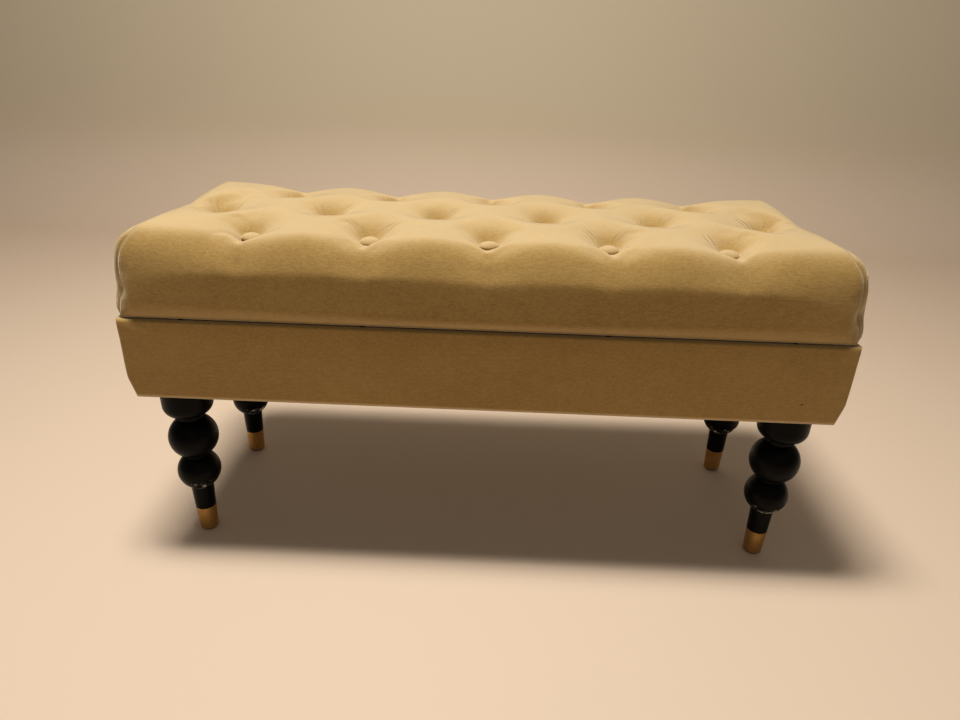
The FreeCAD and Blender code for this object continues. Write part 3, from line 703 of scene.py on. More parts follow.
@dataclass(frozen=True)
class Moulded(Finish):
    """Moulded plastic, rubber or twine: one hue with scuffs and a fine surface."""

    colour: Colour = srgb(34, 33, 32)
    scuff: Colour = srgb(120, 114, 106)
    roughness: float = 0.55
    fine: float = 1500.0

    def material(self) -> bpy.types.Material:
        """Make the material with scuffs, dust and a fine texture."""
        material, graph, shader = self.start()
        wear = Effect.place(graph, wear_effect(), Patch=120.0, Spot=900.0, Amount=0.42)
        dust = Effect.place(
            graph, dust_effect(), Scale=80.0, Strength=0.1, Under=self.colour, Dust=self.scuff
        )
        scuffs = graph.times(wear.outputs["Mask"], 0.5)
        graph.set(shader, "Base Color", graph.blend(scuffs, dust.outputs["Color"], self.scuff))
        texture = graph.noise(graph.here(), self.fine, 2.0, 0.6)
        graph.set(shader, "Roughness", graph.plus(self.roughness, graph.times(texture, 0.2)))
        self.bump(graph, shader, texture, 0.0001, 0.5)
        return material


class Finishes:
    """Every finish on the bench, made once."""

    def __init__(self) -> None:
        """Make all materials."""
        # The box's velvet is the same cloth as the lid's, painted lighter: painted light on the box.
        self.velvet = Velvet(
            "box_velvet_painted_light", deep=srgb(154, 120, 65), light=srgb(186, 152, 91), stain=(0.3672, -0.1637, 0.2645)
        ).material()
        self.tufted_velvet = Velvet("lid_velvet", tufted=True).material()
        # The buttons' velvet is the same cloth painted lighter: a painted sheen on the button domes.
        self.button_velvet_painted_light = Velvet(
            "button_velvet_painted_light", deep=srgb(176, 148, 100), light=srgb(206, 180, 132), patches=30.0
        ).material()
        self.lacquer = Lacquer("black_lacquer").material()
        self.brass = Metal("antique_gold", srgb(188, 146, 86), srgb(150, 110, 60), 0.4, 0.3).material()
        self.zinc = Metal(
            "zinc_plate", srgb(196, 196, 190), srgb(120, 118, 112), 0.36, 0.42, (1, 0.05, 1)
        ).material()
        self.steel = Metal(
            "nickel_plate", srgb(186, 184, 178), srgb(104, 98, 88), 0.28, 0.4, (0.04, 1, 1)
        ).material()
        self.plywood = Plywood("birch_plywood").material()
        self.lining = WovenCloth("lining_cotton").material()
        self.dust_cloth = WovenCloth(
            "dust_cloth", srgb(20, 20, 21), srgb(46, 45, 46), 500.0, 0.95, 0.0004, 0.04
        ).material()
        self.glide = Moulded("glide_plastic").material()
        self.rubber = Moulded("bumper_rubber", srgb(16, 14, 12), srgb(34, 31, 28), 0.8, 900.0).material()
        self.twine = Moulded("waxed_twine", srgb(150, 128, 92), srgb(188, 170, 136), 0.8, 2600.0).material()


# ------------------------------------------------------------------ mesh building


class Form:
    """A piece's mesh in the making."""

    def __init__(self, name: str) -> None:
        """Start an empty mesh."""
        self.name = name
        self.bm = bmesh.new()

    def block(self, low: Vector, high: Vector) -> list[bmesh.types.BMVert]:
        """Add a box between two corners.

        Args:
            low: its lowest corner.
            high: its highest corner.

        Returns:
            Its vertices.
        """
        verts = bmesh.ops.create_cube(self.bm, size=1.0)["verts"]
        bmesh.ops.scale(self.bm, vec=high - low, verts=verts)
        bmesh.ops.translate(self.bm, vec=(low + high) / 2, verts=verts)
        return verts

    def upright(self) -> list[bmesh.types.BMEdge]:
        """Find the vertical edges."""
        return [e for e in self.bm.edges if abs((e.verts[0].co - e.verts[1].co).normalized().z) > 0.99]

    def bevel(self, edges: Iterable[bmesh.types.BMEdge], width: float, segments: int) -> None:
        """Round some edges."""
        bmesh.ops.bevel(self.bm, geom=list(edges), offset=width, segments=segments, profile=0.5,
                        affect="EDGES", material=-1)

    def slice(self, axis: Axis, low: float, high: float, step: float) -> None:
        """Cut the mesh with evenly spaced planes.

        Args:
            axis: the direction across the planes.
            low: the lowest place.
            high: the highest place.
            step: about how far apart the cuts are.
        """
        count = max(1, round((high - low) / step))
        for index in range(1, count):
            place = axis.value * (low + (high - low) * index / count)
            geometry = self.bm.verts[:] + self.bm.edges[:] + self.bm.faces[:]
            bmesh.ops.bisect_plane(self.bm, geom=geometry, dist=1e-6, plane_co=place, plane_no=axis.value)

    def drop(self, keep: Callable[[bmesh.types.BMFace], bool]) -> None:
        """Delete the faces that a test turns down."""
        gone = [f for f in self.bm.faces if not keep(f)]
        bmesh.ops.delete(self.bm, geom=gone, context="FACES")

    def rims(self, height: float, slack: float = 1e-4) -> list[bmesh.types.BMEdge]:
        """Find the open edges at a height."""
        return [
            e for e in self.bm.edges if e.is_boundary and all(abs(v.co.z - height) < slack for v in e.verts)
        ]

    def extrude(
        self, edges: list[bmesh.types.BMEdge], move: Callable[[Vector], Vector]
    ) -> list[bmesh.types.BMEdge]:
        """Extrude open edges and move the new ones.

        Args:
            edges: the edges to extrude.
            move: gives a vertex's new place from its old one.

        Returns:
            The new outer edges.
        """
        made = bmesh.ops.extrude_edge_only(self.bm, edges=edges)["geom"]
        for vert in [g for g in made if isinstance(g, bmesh.types.BMVert)]:
            vert.co = move(vert.co)
        return [g for g in made if isinstance(g, bmesh.types.BMEdge) and g.is_boundary]

    def turn(
        self, profile: Sequence[tuple[float, float]], steps: int, middle: Vector = Vector((0, 0, 0))
    ) -> list[bmesh.types.BMVert]:
        """Spin a profile of (radius, height) points round an upright line.

        Args:
            profile: its points, from one end on the line to the other.
            steps: how many steps a full turn has.
            middle: where the line stands.

        Returns:
            The new vertices.
        """
        before = set(self.bm.verts)
        verts = [self.bm.verts.new(middle + Vector((radius, 0, height))) for radius, height in profile]
        edges = [self.bm.edges.new(pair) for pair in zip(verts, verts[1:])]
        bmesh.ops.spin(self.bm, geom=verts + edges, cent=middle, axis=(0, 0, 1), angle=2 * math.pi,
                       steps=steps, use_merge=True, use_duplicate=False)
        fresh = [v for v in self.bm.verts if v not in before]
        bmesh.ops.remove_doubles(self.bm, verts=fresh, dist=1e-6)
        return [v for v in self.bm.verts if v not in before]

    def shift(
        self, move: Callable[[Vector], Vector], verts: Iterable[bmesh.types.BMVert] | None = None
    ) -> None:
        """Move vertices by a rule of their place."""
        for vert in verts if verts is not None else self.bm.verts:
            vert.co = move(vert.co)

    def finish(
        self, body: Body, slot: Slot, material: bpy.types.Material, outward: bool = True
    ) -> bpy.types.Object:
        """Turn the mesh into a finished piece.

        Args:
            body: the body it rides on.
            slot: the record's slot of its finish; not used.
            material: its material.
            outward: whether its normals are worked out again.

        Returns:
            The piece.
        """
        if outward:
            bmesh.ops.recalc_face_normals(self.bm, faces=self.bm.faces[:])
        for face in self.bm.faces:
            face.smooth = True
        mesh = bpy.data.meshes.new(self.name)
        self.bm.to_mesh(mesh)
        self.bm.free()
        piece = bpy.data.objects.new(self.name, mesh)
        bpy.context.scene.collection.objects.link(piece)
        mesh.materials.append(material)
        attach(piece, body.value)
        log.info("%s: %d faces on %s", self.name, len(mesh.polygons), body.value)
        return piece


def thicken(piece: bpy.types.Object, thickness: float, offset: float = -1.0) -> None:
    """Give a sheet its thickness.

    Args:
        piece: the sheet.
        thickness: in metres.
        offset: which side it grows to.
    """
    solid = piece.modifiers.new("thickness", "SOLIDIFY")
    solid.thickness = thickness
    solid.offset = offset
    solid.use_even_offset = False


# ------------------------------------------------------------------ lid


@dataclass
class LidCushion:
    """The tufted lid: velvet over foam, with a separate panel sewn in at each end."""

    roll: float = 0.033
    swell_room: float = 0.002
    spacing: float = 0.0052
    pitch_x: float = 0.138
    pitch_y: float = 0.095
    button_radius: float = 0.0113
    well_depth: float = 0.0245
    well_width: float = 0.021
    valley: float = 0.5
    crown: float = 0.003
    bulge: float = 0.008
    end_line: tuple[tuple[float, float], ...] = (
        (0.341, 0.4130), (0.356, 0.4114), (0.372, 0.4085), (0.402, 0.4045),
        (0.420, 0.4), (0.430, 0.3955), (0.438, 0.3905),
    )
    cap: float = 0.006
    frames: int = 20
    return_width: float = 0.022
    board_gap: float = 0.0003
    pressure: float = 4.0
    stiffness: float = 22.0
    crease_depth: float = 0.0034
    crease_width: float = 0.004
    crease_reach: float = 0.012

    def __post_init__(self) -> None:
        """Read the lid's place from the frame."""
        low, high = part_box("seat_cover")
        self.low, self.top = low.z, high.z + self.crown
        self.depth = high.y + 0.0012 - self.swell_room
        self.length = high.x
        self.board_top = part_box("lid_panel")[1].z
        self.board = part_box("lid_panel")[1]
        self.tufts = [
            Vector((self.pitch_x * column, self.pitch_y * line, 0))
            for line in (-1, 0, 1)
            for column in ((-2.5, -1.5, -0.5, 0.5, 1.5, 2.5) if line == 0 else (-2, -1, 0, 1, 2))
        ]
        self.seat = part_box("tufting_buttons")[0].z

    def wrap(self, length: float) -> tuple[float, float]:
        """Follow the cover from its front lower edge over the top.

        Args:
            length: how far along the cloth, in metres.

        Returns:
            Y and Z there.
        """
        side = self.top - self.low - self.roll
        arc = math.pi / 2 * self.roll
        flat = 2 * (self.depth - self.roll)
        if length > side + arc + flat / 2:
            y, z = self.wrap(2 * (side + arc) + flat - length)
            return -y, z
        if length <= side:
            return -self.depth, self.low + length
        if length <= side + arc:
            angle = (length - side) / self.roll
            across = -self.depth + self.roll * (1 - math.cos(angle))
            return across, self.low + side + self.roll * math.sin(angle)
        return -self.depth + self.roll + length - side - arc, self.top

    def lengths(self) -> tuple[float, float]:
        """Give the cloth's length up a side to the middle of the roll, and all round."""
        side = self.top - self.low - self.roll
        arc = math.pi / 2 * self.roll
        return side + arc / 2, 2 * (side + arc) + 2 * (self.depth - self.roll)

    def outline(self, v: float, w: float) -> tuple[float, float]:
        """Place a point of the end panel from its share across and up.

        Args:
            v: from -1 at the front to 1 at the back.
            w: from -1 at the foot to 1 at the top.

        Returns:
            Y and Z there.
        """
        rise, whole = self.lengths()
        a, b = (v + 1) / 2, (w + 1) / 2
        front = self.wrap(b * rise)
        crest = self.wrap(rise + a * (whole - 2 * rise))
        corner = self.wrap(rise)
        y = (1 - a) * front[0] - a * front[0] + (1 - b) * (2 * a - 1) * self.depth + b * crest[0]
        y -= (2 * a - 1) * ((1 - b) * self.depth - b * corner[0])
        z = front[1] + (1 - b) * self.low + b * crest[1] - (1 - b) * self.low - b * corner[1]
        return y, z

    def pull(self, x: float, y: float) -> float:
        """Give how far the tufts pull the top down at a place."""
        share = 0.0
        for tuft in self.tufts:
            beyond = y * tuft.y > 0 and abs(y) > abs(tuft.y)
            away = math.hypot(x - tuft.x, (y - tuft.y) * (self.valley if beyond else 1.0))
            share = max(share, math.exp(-((max(0.0, away - self.button_radius) / self.well_width) ** 0.9)))
        return self.well_depth * share

    def place(self, cell: Vector) -> Vector:
        """Place a point of the unit block on the pulled-down cushion."""
        u, v, w = cell
        rise, whole = self.lengths()
        if abs(abs(u) - 1) < 1e-6:
            y, z = self.outline(v, w)
        elif abs(abs(v) - 1) < 1e-6:
            y, z = self.wrap((w + 1) / 2 * rise)
            y = -y * v
        else:
            y, z = self.wrap(rise + (v + 1) / 2 * (whole - 2 * rise))
        x = between(self.end_line, z)
        if abs(abs(u) - 1) < 1e-6:
            x += self.bulge * ((1 - v ** 40) * (1 - w ** 12)) ** 0.5
        return Vector((u * x, y, z))

    def base(self) -> Form:
        """Make the even grid of the cover, open below, with its seams marked."""
        form = Form("lid_cushion")
        form.block(Vector((-1, -1, -1)), Vector((1, 1, 1)))
        rise, whole = self.lengths()
        form.slice(Axis.X, -1, 1, 2 * self.spacing / (2 * self.length))
        form.slice(Axis.Y, -1, 1, 2 * self.spacing / (whole - 2 * rise))
        form.slice(Axis.Z, -1, 1, 2 * self.spacing / rise)
        form.drop(lambda face: face.calc_center_median().z > -1 + 1e-6)
        seam = form.bm.verts.layers.float.new("seam")
        along = form.bm.verts.layers.float.new("along")
        for vert in form.bm.verts:
            u, v, w = vert.co
            if abs(abs(u) - 1) < 1e-6:
                gap = min((1 - abs(v)) * self.depth, (1 - w) / 2 * rise)
            else:
                gap = (1 - abs(u)) * self.length
            vert[seam] = gap
            on_side = abs(abs(v) - 1) < 1e-6
            vert[along] = (w + 1) / 2 * rise if on_side else rise + (v + 1) / 2 * (whole - 2 * rise)
        return form

    def settle(self, piece: bpy.types.Object, loose: list[Vector]) -> list[Vector]:
        """Let the cover swell and pull tight over the foam.

        Args:
            piece: the cover at its starting shape.
            loose: each vertex's place before the tufts pull it, which sets the cloth's own lengths.

        Returns:
            Each vertex's settled place.
        """
        held = piece.vertex_groups.new(name="held")
        for vert in piece.data.vertices:
            place = vert.co
            near = min(math.hypot(place.x - t.x, place.y - t.y) for t in self.tufts)
            if place.z < self.low + 0.004 or (
                near < self.button_radius * 0.85 and place.z > self.seat - 0.01
            ):
                held.add([vert.index], 1.0, "REPLACE")
        piece.shape_key_add(name="Basis")
        slack = piece.shape_key_add(name="slack")
        for index, place in enumerate(loose):
            slack.data[index].co = place
        cloth = piece.modifiers.new("cloth", "CLOTH")
        settings = cloth.settings
        settings.rest_shape_key = slack
        settings.vertex_group_mass = "held"
        settings.quality = 7
        settings.mass = 0.25
        settings.tension_stiffness = settings.compression_stiffness = self.stiffness
        settings.shear_stiffness = 9
        settings.bending_stiffness = 1.2
        settings.use_pressure = True
        settings.uniform_pressure_force = self.pressure
        settings.effector_weights.gravity = 0
        cloth.collision_settings.use_collision = False
        cloth.point_cache.frame_start, cloth.point_cache.frame_end = 1, self.frames
        scene = bpy.context.scene
        for number in range(1, self.frames + 1):
            scene.frame_set(number)
        settled = piece.evaluated_get(bpy.context.evaluated_depsgraph_get())
        places = [v.co.copy() for v in settled.data.vertices]
        piece.modifiers.remove(cloth)
        piece.shape_key_clear()
        scene.frame_set(1)
        return places

    def build(self, finishes: Finishes) -> bpy.types.Object:
        """Make the tufted cushion.

        Args:
            finishes: the bench's finishes.

        Returns:
            The cushion.
        """
        form = self.base()
        form.bm.verts.ensure_lookup_table()
        plain = [self.place(v.co) for v in form.bm.verts]
        ups = [ramp(-0.2, 0.9, abs(v.co.z)) if v.co.z > 0 else 0.0 for v in form.bm.verts]
        flats = [abs(v.co.z - 1) < 1e-6 for v in form.bm.verts]
        start, loose = [], []
        for place, up, flat in zip(plain, ups, flats):
            drop = self.pull(place.x, place.y) * (1.0 if flat else up * up)
            drop *= ramp(self.depth + 0.02, self.depth - 0.03, abs(place.y))
            start.append(place - Vector((0, 0, drop)))
            loose.append(Vector((place.x * 1.012, place.y * 1.02, place.z - drop * 0.7)))
        for vert, place in zip(form.bm.verts, start):
            vert.co = place
        piece = form.finish(Body.LID, Slot.VELVET, finishes.tufted_velvet)
        for vert, place, origin in zip(piece.data.vertices, self.settle(piece, loose), start):
            step = place - origin
            if step.length > self.cap:
                step *= self.cap / step.length
            vert.co = origin + step
        piece = self.refine(piece, finishes)
        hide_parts("seat_cover", "seat_foam")
        return piece

    def crease(self, place: Vector) -> Vector:
        """Press the one crease that runs from the first front button toward the near end."""
        tuft = Vector((-2 * self.pitch_x, -self.pitch_y))
        start, along = tuft - Vector((0.008, 0.009)), Vector((-0.018, -0.025))
        share = min(1.0, max(0.0, (place.xy - start).dot(along) / along.length_squared))
        away = (place.xy - start - along * share).length
        if place.z < self.board_top + 0.03 or away > self.crease_reach:
            return place
        depth = self.crease_depth * (1 - 0.7 * share) * math.exp(-(away / self.crease_width) ** 2)
        return place - Vector((0, 0, depth))

    def refine(self, piece: bpy.types.Object, finishes: Finishes) -> bpy.types.Object:
        """Subdivide the cover once, sink its seams and close it round the board.

        Args:
            piece: the settled cover.
            finishes: the bench's finishes.

        Returns:
            The closed cushion.
        """
        fine = piece.modifiers.new("fine", "SUBSURF")
        fine.levels = fine.render_levels = 1
        smooth = piece.evaluated_get(bpy.context.evaluated_depsgraph_get())
        form = Form("lid_cushion_closed")
        form.bm.from_mesh(smooth.to_mesh())
        bpy.data.objects.remove(piece)
        seam = form.bm.verts.layers.float["seam"]
        form.bm.normal_update()
        for vert in form.bm.verts:
            sink = 0.0013 * (1 - ramp(0.0, 0.004, vert[seam])) * ramp(
                self.low + 0.008, self.low + 0.03, vert.co.z
            )
            vert.co -= vert.normal * sink
        form.shift(self.crease)
        inner_x, inner_y = self.length - self.return_width, self.depth - self.return_width
        fit_x, fit_y = self.board.x + self.board_gap, self.board.y + self.board_gap
        rim = [e for e in form.bm.edges if e.is_boundary]
        for wide, deep, height in (
            (0.9985, 0.998, self.low - 0.0014), (0.9965, 0.994, self.low + 0.0001),
            (inner_x / self.length, inner_y / self.depth, self.low + 0.0001), (1.0, 1.0, self.low + 0.0013),
            (fit_x / inner_x, fit_y / inner_y, self.low + 0.0013), (1.0, 1.0, self.board_top + 0.0002),
        ):
            rim = form.extrude(rim, lambda c, w=wide, d=deep, h=height: Vector((c.x * w, c.y * d, h)))
        bmesh.ops.holes_fill(form.bm, edges=rim, sides=0)
        form.name = "lid_cushion"
        return form.finish(Body.LID, Slot.VELVET, finishes.tufted_velvet)


@dataclass
class TuftButtons:
    """Sixteen covered buttons, each with gathered velvet."""

    radius: float = 0.0118
    lift: float = 0.0025
    gathers: int = 14

    def build(self, finishes: Finishes) -> bpy.types.Object:
        """Make all buttons as one piece."""
        form = Form("tuft_buttons")
        low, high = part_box("tufting_buttons")
        rise = high.z - low.z
        cushion = LidCushion()
        profile = [
            (0.0, -0.0005), (self.radius * 0.72, -0.0002), (self.radius * 0.93, rise * 0.1),
            (self.radius, rise * 0.24), (self.radius * 0.97, rise * 0.42), (self.radius * 0.86, rise * 0.63),
            (self.radius * 0.66, rise * 0.83), (self.radius * 0.38, rise * 0.96),
            (self.radius * 0.14, rise * 0.998), (0.0, rise),
        ]
        for number, tuft in enumerate(cushion.tufts):
            centre = Vector((tuft.x, tuft.y, low.z + self.lift))
            verts = form.turn(profile, 42, centre)
            spin = number * 0.7
            tilt = Euler((math.sin(number * 2.1) * 0.05, math.cos(number * 1.3) * 0.05, 0)).to_matrix()

            def gather(place: Vector) -> Vector:
                local = place - centre
                reach = math.hypot(local.x, local.y)
                angle = math.atan2(local.y, local.x) + spin
                edge = ramp(self.radius * 0.55, self.radius, reach)
                local.xy *= 1 + 0.018 * edge * math.cos(self.gathers * angle + math.sin(angle * 3))
                local.z += 0.0002 * edge * math.cos(self.gathers * angle)
                return centre + tilt @ local

            form.shift(gather, verts)
        # The buttons wear the lighter velvet, a painted sheen.
        piece = form.finish(Body.LID, Slot.VELVET, finishes.button_velvet_painted_light)
        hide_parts("tufting_buttons")
        return piece


# ------------------------------------------------------------------ box


@dataclass
class BoxCover:
    """The velvet stretched round the box, folded over the rim and under the bottom."""

    thickness: float = 0.0012
    return_width: float = 0.022
    taper: float = 0.0056
    taper_height: float = 0.025
    corner: float = 0.003
    swell: float = 0.003
    fold_height: float = 0.0015
    fold_slope: float = 0.4
    fold_rise: float = 0.0012
    ripple: float = 0.0009
    spacing: float = 0.0055

    def __post_init__(self) -> None:
        """Read the box's place from the frame."""
        self.low, self.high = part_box("box_cover")

    def hang(self, place: Vector) -> Vector:
        """Swell and taper the ends, and give the cloth its slight pulls."""
        x, y, z = place
        height = z - self.low.z
        up = height / (self.high.z - self.low.z)
        end = ramp(self.high.x - 0.03, self.high.x - 0.004, abs(x))
        over = max(0.0, 1 - height / self.taper_height)
        out = self.swell * (0.7 + 0.3 * math.sin(math.pi * up)) - self.taper * over
        x += math.copysign(1.0, x) * out * end
        normal_y = math.copysign(1.0, y) if abs(y) > self.high.y - 0.002 else 0.0
        ripple = noise.noise(Vector((x * 9, y * 9, z * 22))) * self.ripple
        y += normal_y * (ripple * math.sin(math.pi * up) + math.sin(math.pi * up) * 0.0007)
        if end > 0.9 and not normal_y:
            x += math.copysign(1.0, x) * noise.noise(Vector((y * 11, z * 20, 3.0))) * 0.0006
        return Vector((x, y, z))

    def fold(self, place: Vector) -> Vector:
        """Lay the corner folds: the cloth below a slanting line stands a little proud."""
        x, y, z = place
        if y < self.low.y + 0.003:
            inward = self.high.x - abs(x)
            line = self.high.z + self.fold_rise - inward * self.fold_slope
            below = ramp(0.003, -0.003, z - line) * ramp(-0.03, -0.004, z - line)
            reach = (1 - ramp(0.026, 0.05, inward)) * (1.0 if x < 0 else 0.6)
            y -= self.fold_height * below * reach
        return Vector((x, y, z))

    def build(self, finishes: Finishes) -> bpy.types.Object:
        """Make the cover as one closed sheet.

        Args:
            finishes: the bench's finishes.

        Returns:
            The cover.
        """
        form = Form("box_cover_velvet")
        form.block(self.low, self.high)
        form.bevel(form.upright(), self.corner, 4)
        form.drop(lambda face: abs(face.normal.z) < 0.5)
        form.slice(Axis.X, self.low.x, self.high.x, self.spacing)
        form.slice(Axis.Y, self.low.y, self.high.y, self.spacing)
        form.slice(Axis.Z, self.low.z, self.high.z, self.spacing * 0.8)
        top, bottom = form.rims(self.high.z), form.rims(self.low.z)

        def inset(step: float, height: float) -> Callable[[Vector], Vector]:
            return lambda c: Vector((
                c.x - math.copysign(step, c.x) * ramp(
                    self.high.x - self.corner - 0.03, self.high.x - self.corner, abs(c.x)
                ),
                c.y - math.copysign(step, c.y) * ramp(
                    self.high.y - self.corner - 0.02, self.high.y - self.corner, abs(c.y)
                ),
                height))

        form.shift(self.fold)
        form.shift(self.hang)
        wall = self.high.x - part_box("wall_lining")[1].x
        for step, drop in (
            (0.0007, -0.0003), (0.0008, 0.0003), (wall / 2 - 0.002, 0.0002), (wall / 2 - 0.002, 0.0)
        ):
            top = form.extrude(top, inset(step, self.high.z + drop - 0.0003))
        form.extrude(top, lambda c: Vector((c.x, c.y, self.high.z - 0.009)))
        for step, drop in (
            (0.0008, 0.0006), (0.001, 0.0002), (self.return_width / 2, 0.0), (self.return_width / 2, 0.0002)
        ):
            bottom = form.extrude(bottom, inset(step, self.low.z + drop))
        piece = form.finish(Body.BOX, Slot.VELVET, finishes.velvet)
        thicken(piece, self.thickness)
        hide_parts("box_cover")
        return piece


@dataclass
class Linings:
    """The cloth inside the box and under it, and under the lid's board."""

    spacing: float = 0.012

    def flat_sheet(
        self, name: str, low: Vector, high: Vector, body: Body, slot: Slot, material: bpy.types.Material,
        nodes: Sequence[str], ripple: float, sag: float, held: str,
    ) -> bpy.types.Object:
        """Make a level sheet with slight ripples.

        Args:
            name: the piece's name.
            low: its lowest corner.
            high: its highest corner.
            body: the body it rides on.
            slot: its slot.
            material: its finish.
            nodes: the nodes it stands for.
            ripple: the ripples' height.
            sag: how far its middle hangs.
            held: how it is held; not used.

        Returns:
            The sheet.
        """
        form = Form(name)
        form.block(low, high)
        form.slice(Axis.X, low.x, high.x, self.spacing)
        form.slice(Axis.Y, low.y, high.y, self.spacing)

        def move(place: Vector) -> Vector:
            edge = ramp(high.x, high.x - 0.03, abs(place.x)) * ramp(high.y, high.y - 0.03, abs(place.y))
            wave = noise.noise(Vector((place.x * 14, place.y * 14, len(name)))) * ripple
            drape = (1 - (place.x / high.x) ** 2) * (1 - (place.y / high.y) ** 2) * sag
            return place + Vector((0, 0, wave * edge - drape))

        form.shift(move)
        piece = form.finish(body, slot, material)
        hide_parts(*nodes)
        return piece

    def walls(self, finishes: Finishes) -> bpy.types.Object:
        """Make the lining glued round the inside of the box."""
        low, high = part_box("wall_lining")
        form = Form("wall_lining_cloth")
        form.block(low, high)
        form.drop(lambda face: abs(face.normal.z) < 0.5)
        form.slice(Axis.X, low.x, high.x, self.spacing)
        form.slice(Axis.Y, low.y, high.y, self.spacing)
        form.slice(Axis.Z, low.z, high.z, self.spacing)

        def move(place: Vector) -> Vector:
            wave = noise.noise(Vector((place.x * 12, place.y * 12, place.z * 20))) * 0.0004
            return Vector(
                (
                    place.x - math.copysign(max(0.0, wave), place.x),
                    place.y - math.copysign(max(0.0, wave), place.y),
                    place.z,
                )
            )

        form.shift(move)
        piece = form.finish(Body.BOX, Slot.LINING, finishes.lining)
        thicken(piece, 0.0009)
        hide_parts("wall_lining")
        return piece

    def build(self, finishes: Finishes) -> None:
        """Make all four linings."""
        self.walls(finishes)
        lining = (Body.BOX, Slot.LINING, finishes.lining)
        dark_box, dark_lid = ((body, Slot.DUST_CLOTH, finishes.dust_cloth) for body in (Body.BOX, Body.LID))
        for node, (body, slot, material), ripple, sag, held, under in (
            ("floor_lining", lining, 0.0005, 0.0, "laid", "bottom_panel"),
            ("dust_cover", dark_box, 0.0004, 0.0003, "stretched", "bottom_panel"),
            ("lid_lining", dark_lid, 0.0003, 0.0, "stretched", "lid_panel"),
        ):
            low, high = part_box(node)
            if body is Body.LID:
                high = high - Vector((0, 0, 0.0007))
            self.flat_sheet(
                f"{node}_cloth", low, high, body, slot, material, [node], ripple, sag, held
            )


# ------------------------------------------------------------------ carried-over pieces


class Hardware:
    """The pieces whose CAD shape is already right, dressed in their finishes."""

    def __init__(self, finishes: Finishes) -> None:
        """Keep the finishes and say which pieces get which."""
        self.rules: list[tuple[tuple[str, ...], bpy.types.Material]] = [
            (("_leg",), finishes.lacquer),
            (("_ferrule",), finishes.brass),
            (("_glide",), finishes.glide),
            (("_panel",), finishes.plywood),
            (
                ("hinge_box_leaf", "hinge_lid_leaf", "hinge_pins", "stay_", "_arm", "_rivet", "_bracket"),
                finishes.steel,
            ),
            (("screws", "staples", "bolts", "nuts", "washers"), finishes.zinc),
            (("bumpers",), finishes.rubber),
            (("ties",), finishes.twine),
        ]

    def finish_of(self, name: str) -> bpy.types.Material:
        """Find a node's finish by its name."""
        for endings, material in reversed(self.rules):
            if any(ending in name for ending in endings):
                return material
        raise KeyError(name)

    def dress(self) -> None:
        """Give every shown node its finish."""
        for name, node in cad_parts.items():
            if node.hide_render:
                continue
            node.data.materials.clear()
            node.data.materials.append(self.finish_of(name))
            log.info("%s: %s", name, node.data.materials[0].name)


# ------------------------------------------------------------------ studio


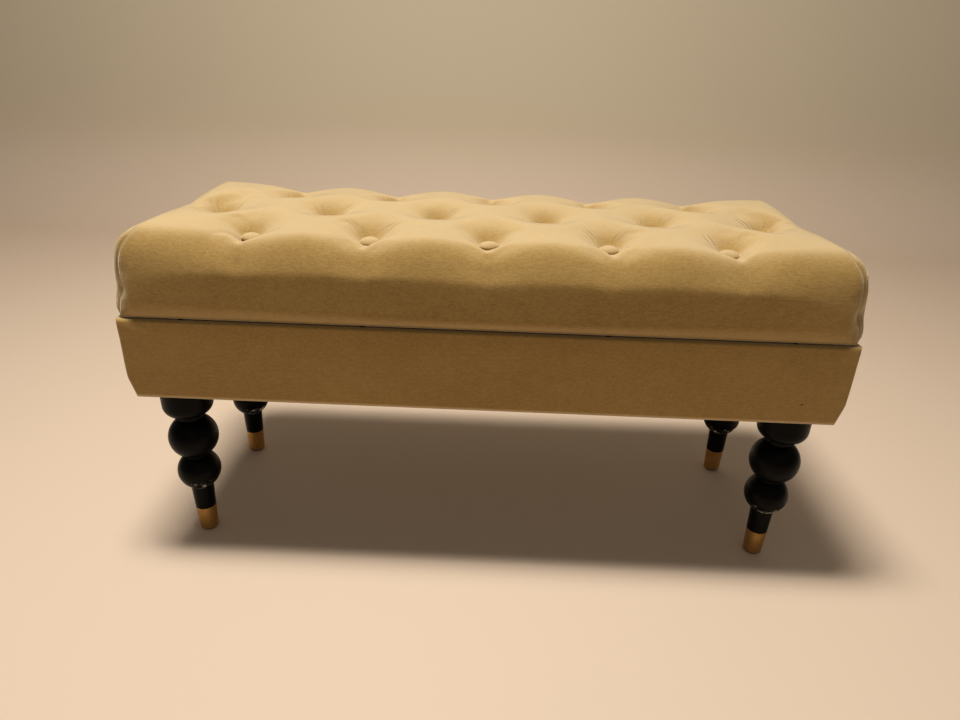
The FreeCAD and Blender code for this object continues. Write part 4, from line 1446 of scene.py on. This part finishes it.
@dataclass
class Studio:
    """A pale floor that curves up behind, soft lights overhead, and the camera."""

    floor: Colour = srgb(224, 202, 180)
    wall: Colour = srgb(206, 194, 170)
    lens: float = 24.96
    position: tuple[float, float, float] = (0.0089, -0.8474, 0.6256)
    down: float = 0.43805
    left: float = 0.019965
    tip: float = 0.0315726

    def camera(self) -> None:
        """Stand the camera in front of the bench, looking down at it."""
        data = bpy.data.cameras.new("camera")
        data.lens, data.sensor_width = self.lens, 36.0
        data.clip_start, data.clip_end = 0.02, 50.0
        item = bpy.data.objects.new("camera", data)
        bpy.context.scene.collection.objects.link(item)
        ahead = Vector(
            (
                -math.sin(self.left) * math.cos(self.down),
                math.cos(self.left) * math.cos(self.down),
                -math.sin(self.down),
            )
        )
        right = Vector((math.cos(self.left), math.sin(self.left), 0))
        up = right.cross(ahead)
        tipped = math.cos(self.tip) * right + math.sin(self.tip) * up
        above = -math.sin(self.tip) * right + math.cos(self.tip) * up
        item.matrix_world = Matrix((
            (tipped.x, above.x, -ahead.x, self.position[0]),
            (tipped.y, above.y, -ahead.y, self.position[1]),
            (tipped.z, above.z, -ahead.z, self.position[2]),
            (0, 0, 0, 1)))
        bpy.context.scene.camera = item

    def ground(self) -> None:
        """Make the floor with its curved back."""
        bm = bmesh.new()
        bmesh.ops.create_grid(bm, x_segments=1, y_segments=1, size=4.0)
        bmesh.ops.translate(bm, vec=(0, -2.2, 0), verts=bm.verts[:])
        back = [e for e in bm.edges if all(v.co.y > 1 for v in e.verts)]
        made = bmesh.ops.extrude_edge_only(bm, edges=back)["geom"]
        bmesh.ops.translate(bm, vec=(0, 0, 3.2), verts=[g for g in made if isinstance(g, bmesh.types.BMVert)])
        bmesh.ops.bevel(bm, geom=back, offset=0.35, segments=12, profile=0.5, affect="EDGES", material=-1)
        mesh = bpy.data.meshes.new("ground")
        bm.to_mesh(mesh)
        bm.free()
        for face in mesh.polygons:
            face.use_smooth = True
        item = bpy.data.objects.new("ground", mesh)
        bpy.context.scene.collection.objects.link(item)
        material = bpy.data.materials.new("pale_floor")
        material.use_nodes = True
        graph = Graph(material.node_tree)
        shader = material.node_tree.nodes["Principled BSDF"]
        tone = graph.band(graph.noise(graph.here(), 2.0, 3.0), 0.2, 0.8)
        height = graph.band(graph.add("SeparateXYZ", Vector=graph.here()).outputs[2], 0.0, 0.5)
        plain = graph.blend(height, self.floor, self.wall)
        graph.feed(
            shader,
            Base_Color=graph.blend(graph.times(tone, 0.04), plain, self.wall),
            Roughness=0.7,
        )
        mesh.materials.append(material)

    def light(
        self, name: str, place: tuple[float, float, float], aim: tuple[float, float, float],
        size: float, power: float, colour: Colour,
    ) -> None:
        """Hang a square soft light.

        Args:
            name: its name.
            place: where it hangs.
            aim: where it points.
            size: its side.
            power: in watts.
            colour: its colour.
        """
        data = bpy.data.lights.new(name, "AREA")
        data.size, data.energy, data.color = size, power, colour
        item = bpy.data.objects.new(name, data)
        item.location = place
        item.rotation_euler = (Vector(aim) - Vector(place)).to_track_quat("-Z", "Y").to_euler()
        bpy.context.scene.collection.objects.link(item)

    def build(self) -> None:
        """Set up the floor, the lights and the camera."""
        self.ground()
        self.camera()
        warm = (1.0, 0.945, 0.86)
        self.light("ceiling_left", (-0.42, -0.21, 2.4), (-0.1, 0.0, 0.3), 0.34, 30.0, warm)
        self.light("ceiling_right", (-0.14, -0.21, 2.4), (0.1, 0.0, 0.3), 0.34, 28.5, warm)
        self.light("front_fill", (0.3, -2.2, 1.4), (0.0, 0.0, 0.3), 1.6, 1.5, (1.0, 0.95, 0.88))
        world = bpy.data.worlds.new("studio")
        bpy.context.scene.world = world
        world.use_nodes = True
        background = world.node_tree.nodes["Background"]
        background.inputs["Color"].default_value = (1.0, 0.93, 0.84, 1.0)
        background.inputs["Strength"].default_value = 0.15
        bpy.context.scene.view_settings.view_transform = "Standard"


def main() -> None:
    """Build the bench in order and report each piece."""
    logging.basicConfig(level=logging.INFO, format="%(message)s")
    Studio().build()
    finishes = Finishes()
    LidCushion().build(finishes)
    TuftButtons().build(finishes)
    BoxCover().build(finishes)
    Linings().build(finishes)
    Hardware(finishes).dress()


if __name__ == "__main__":
    main()
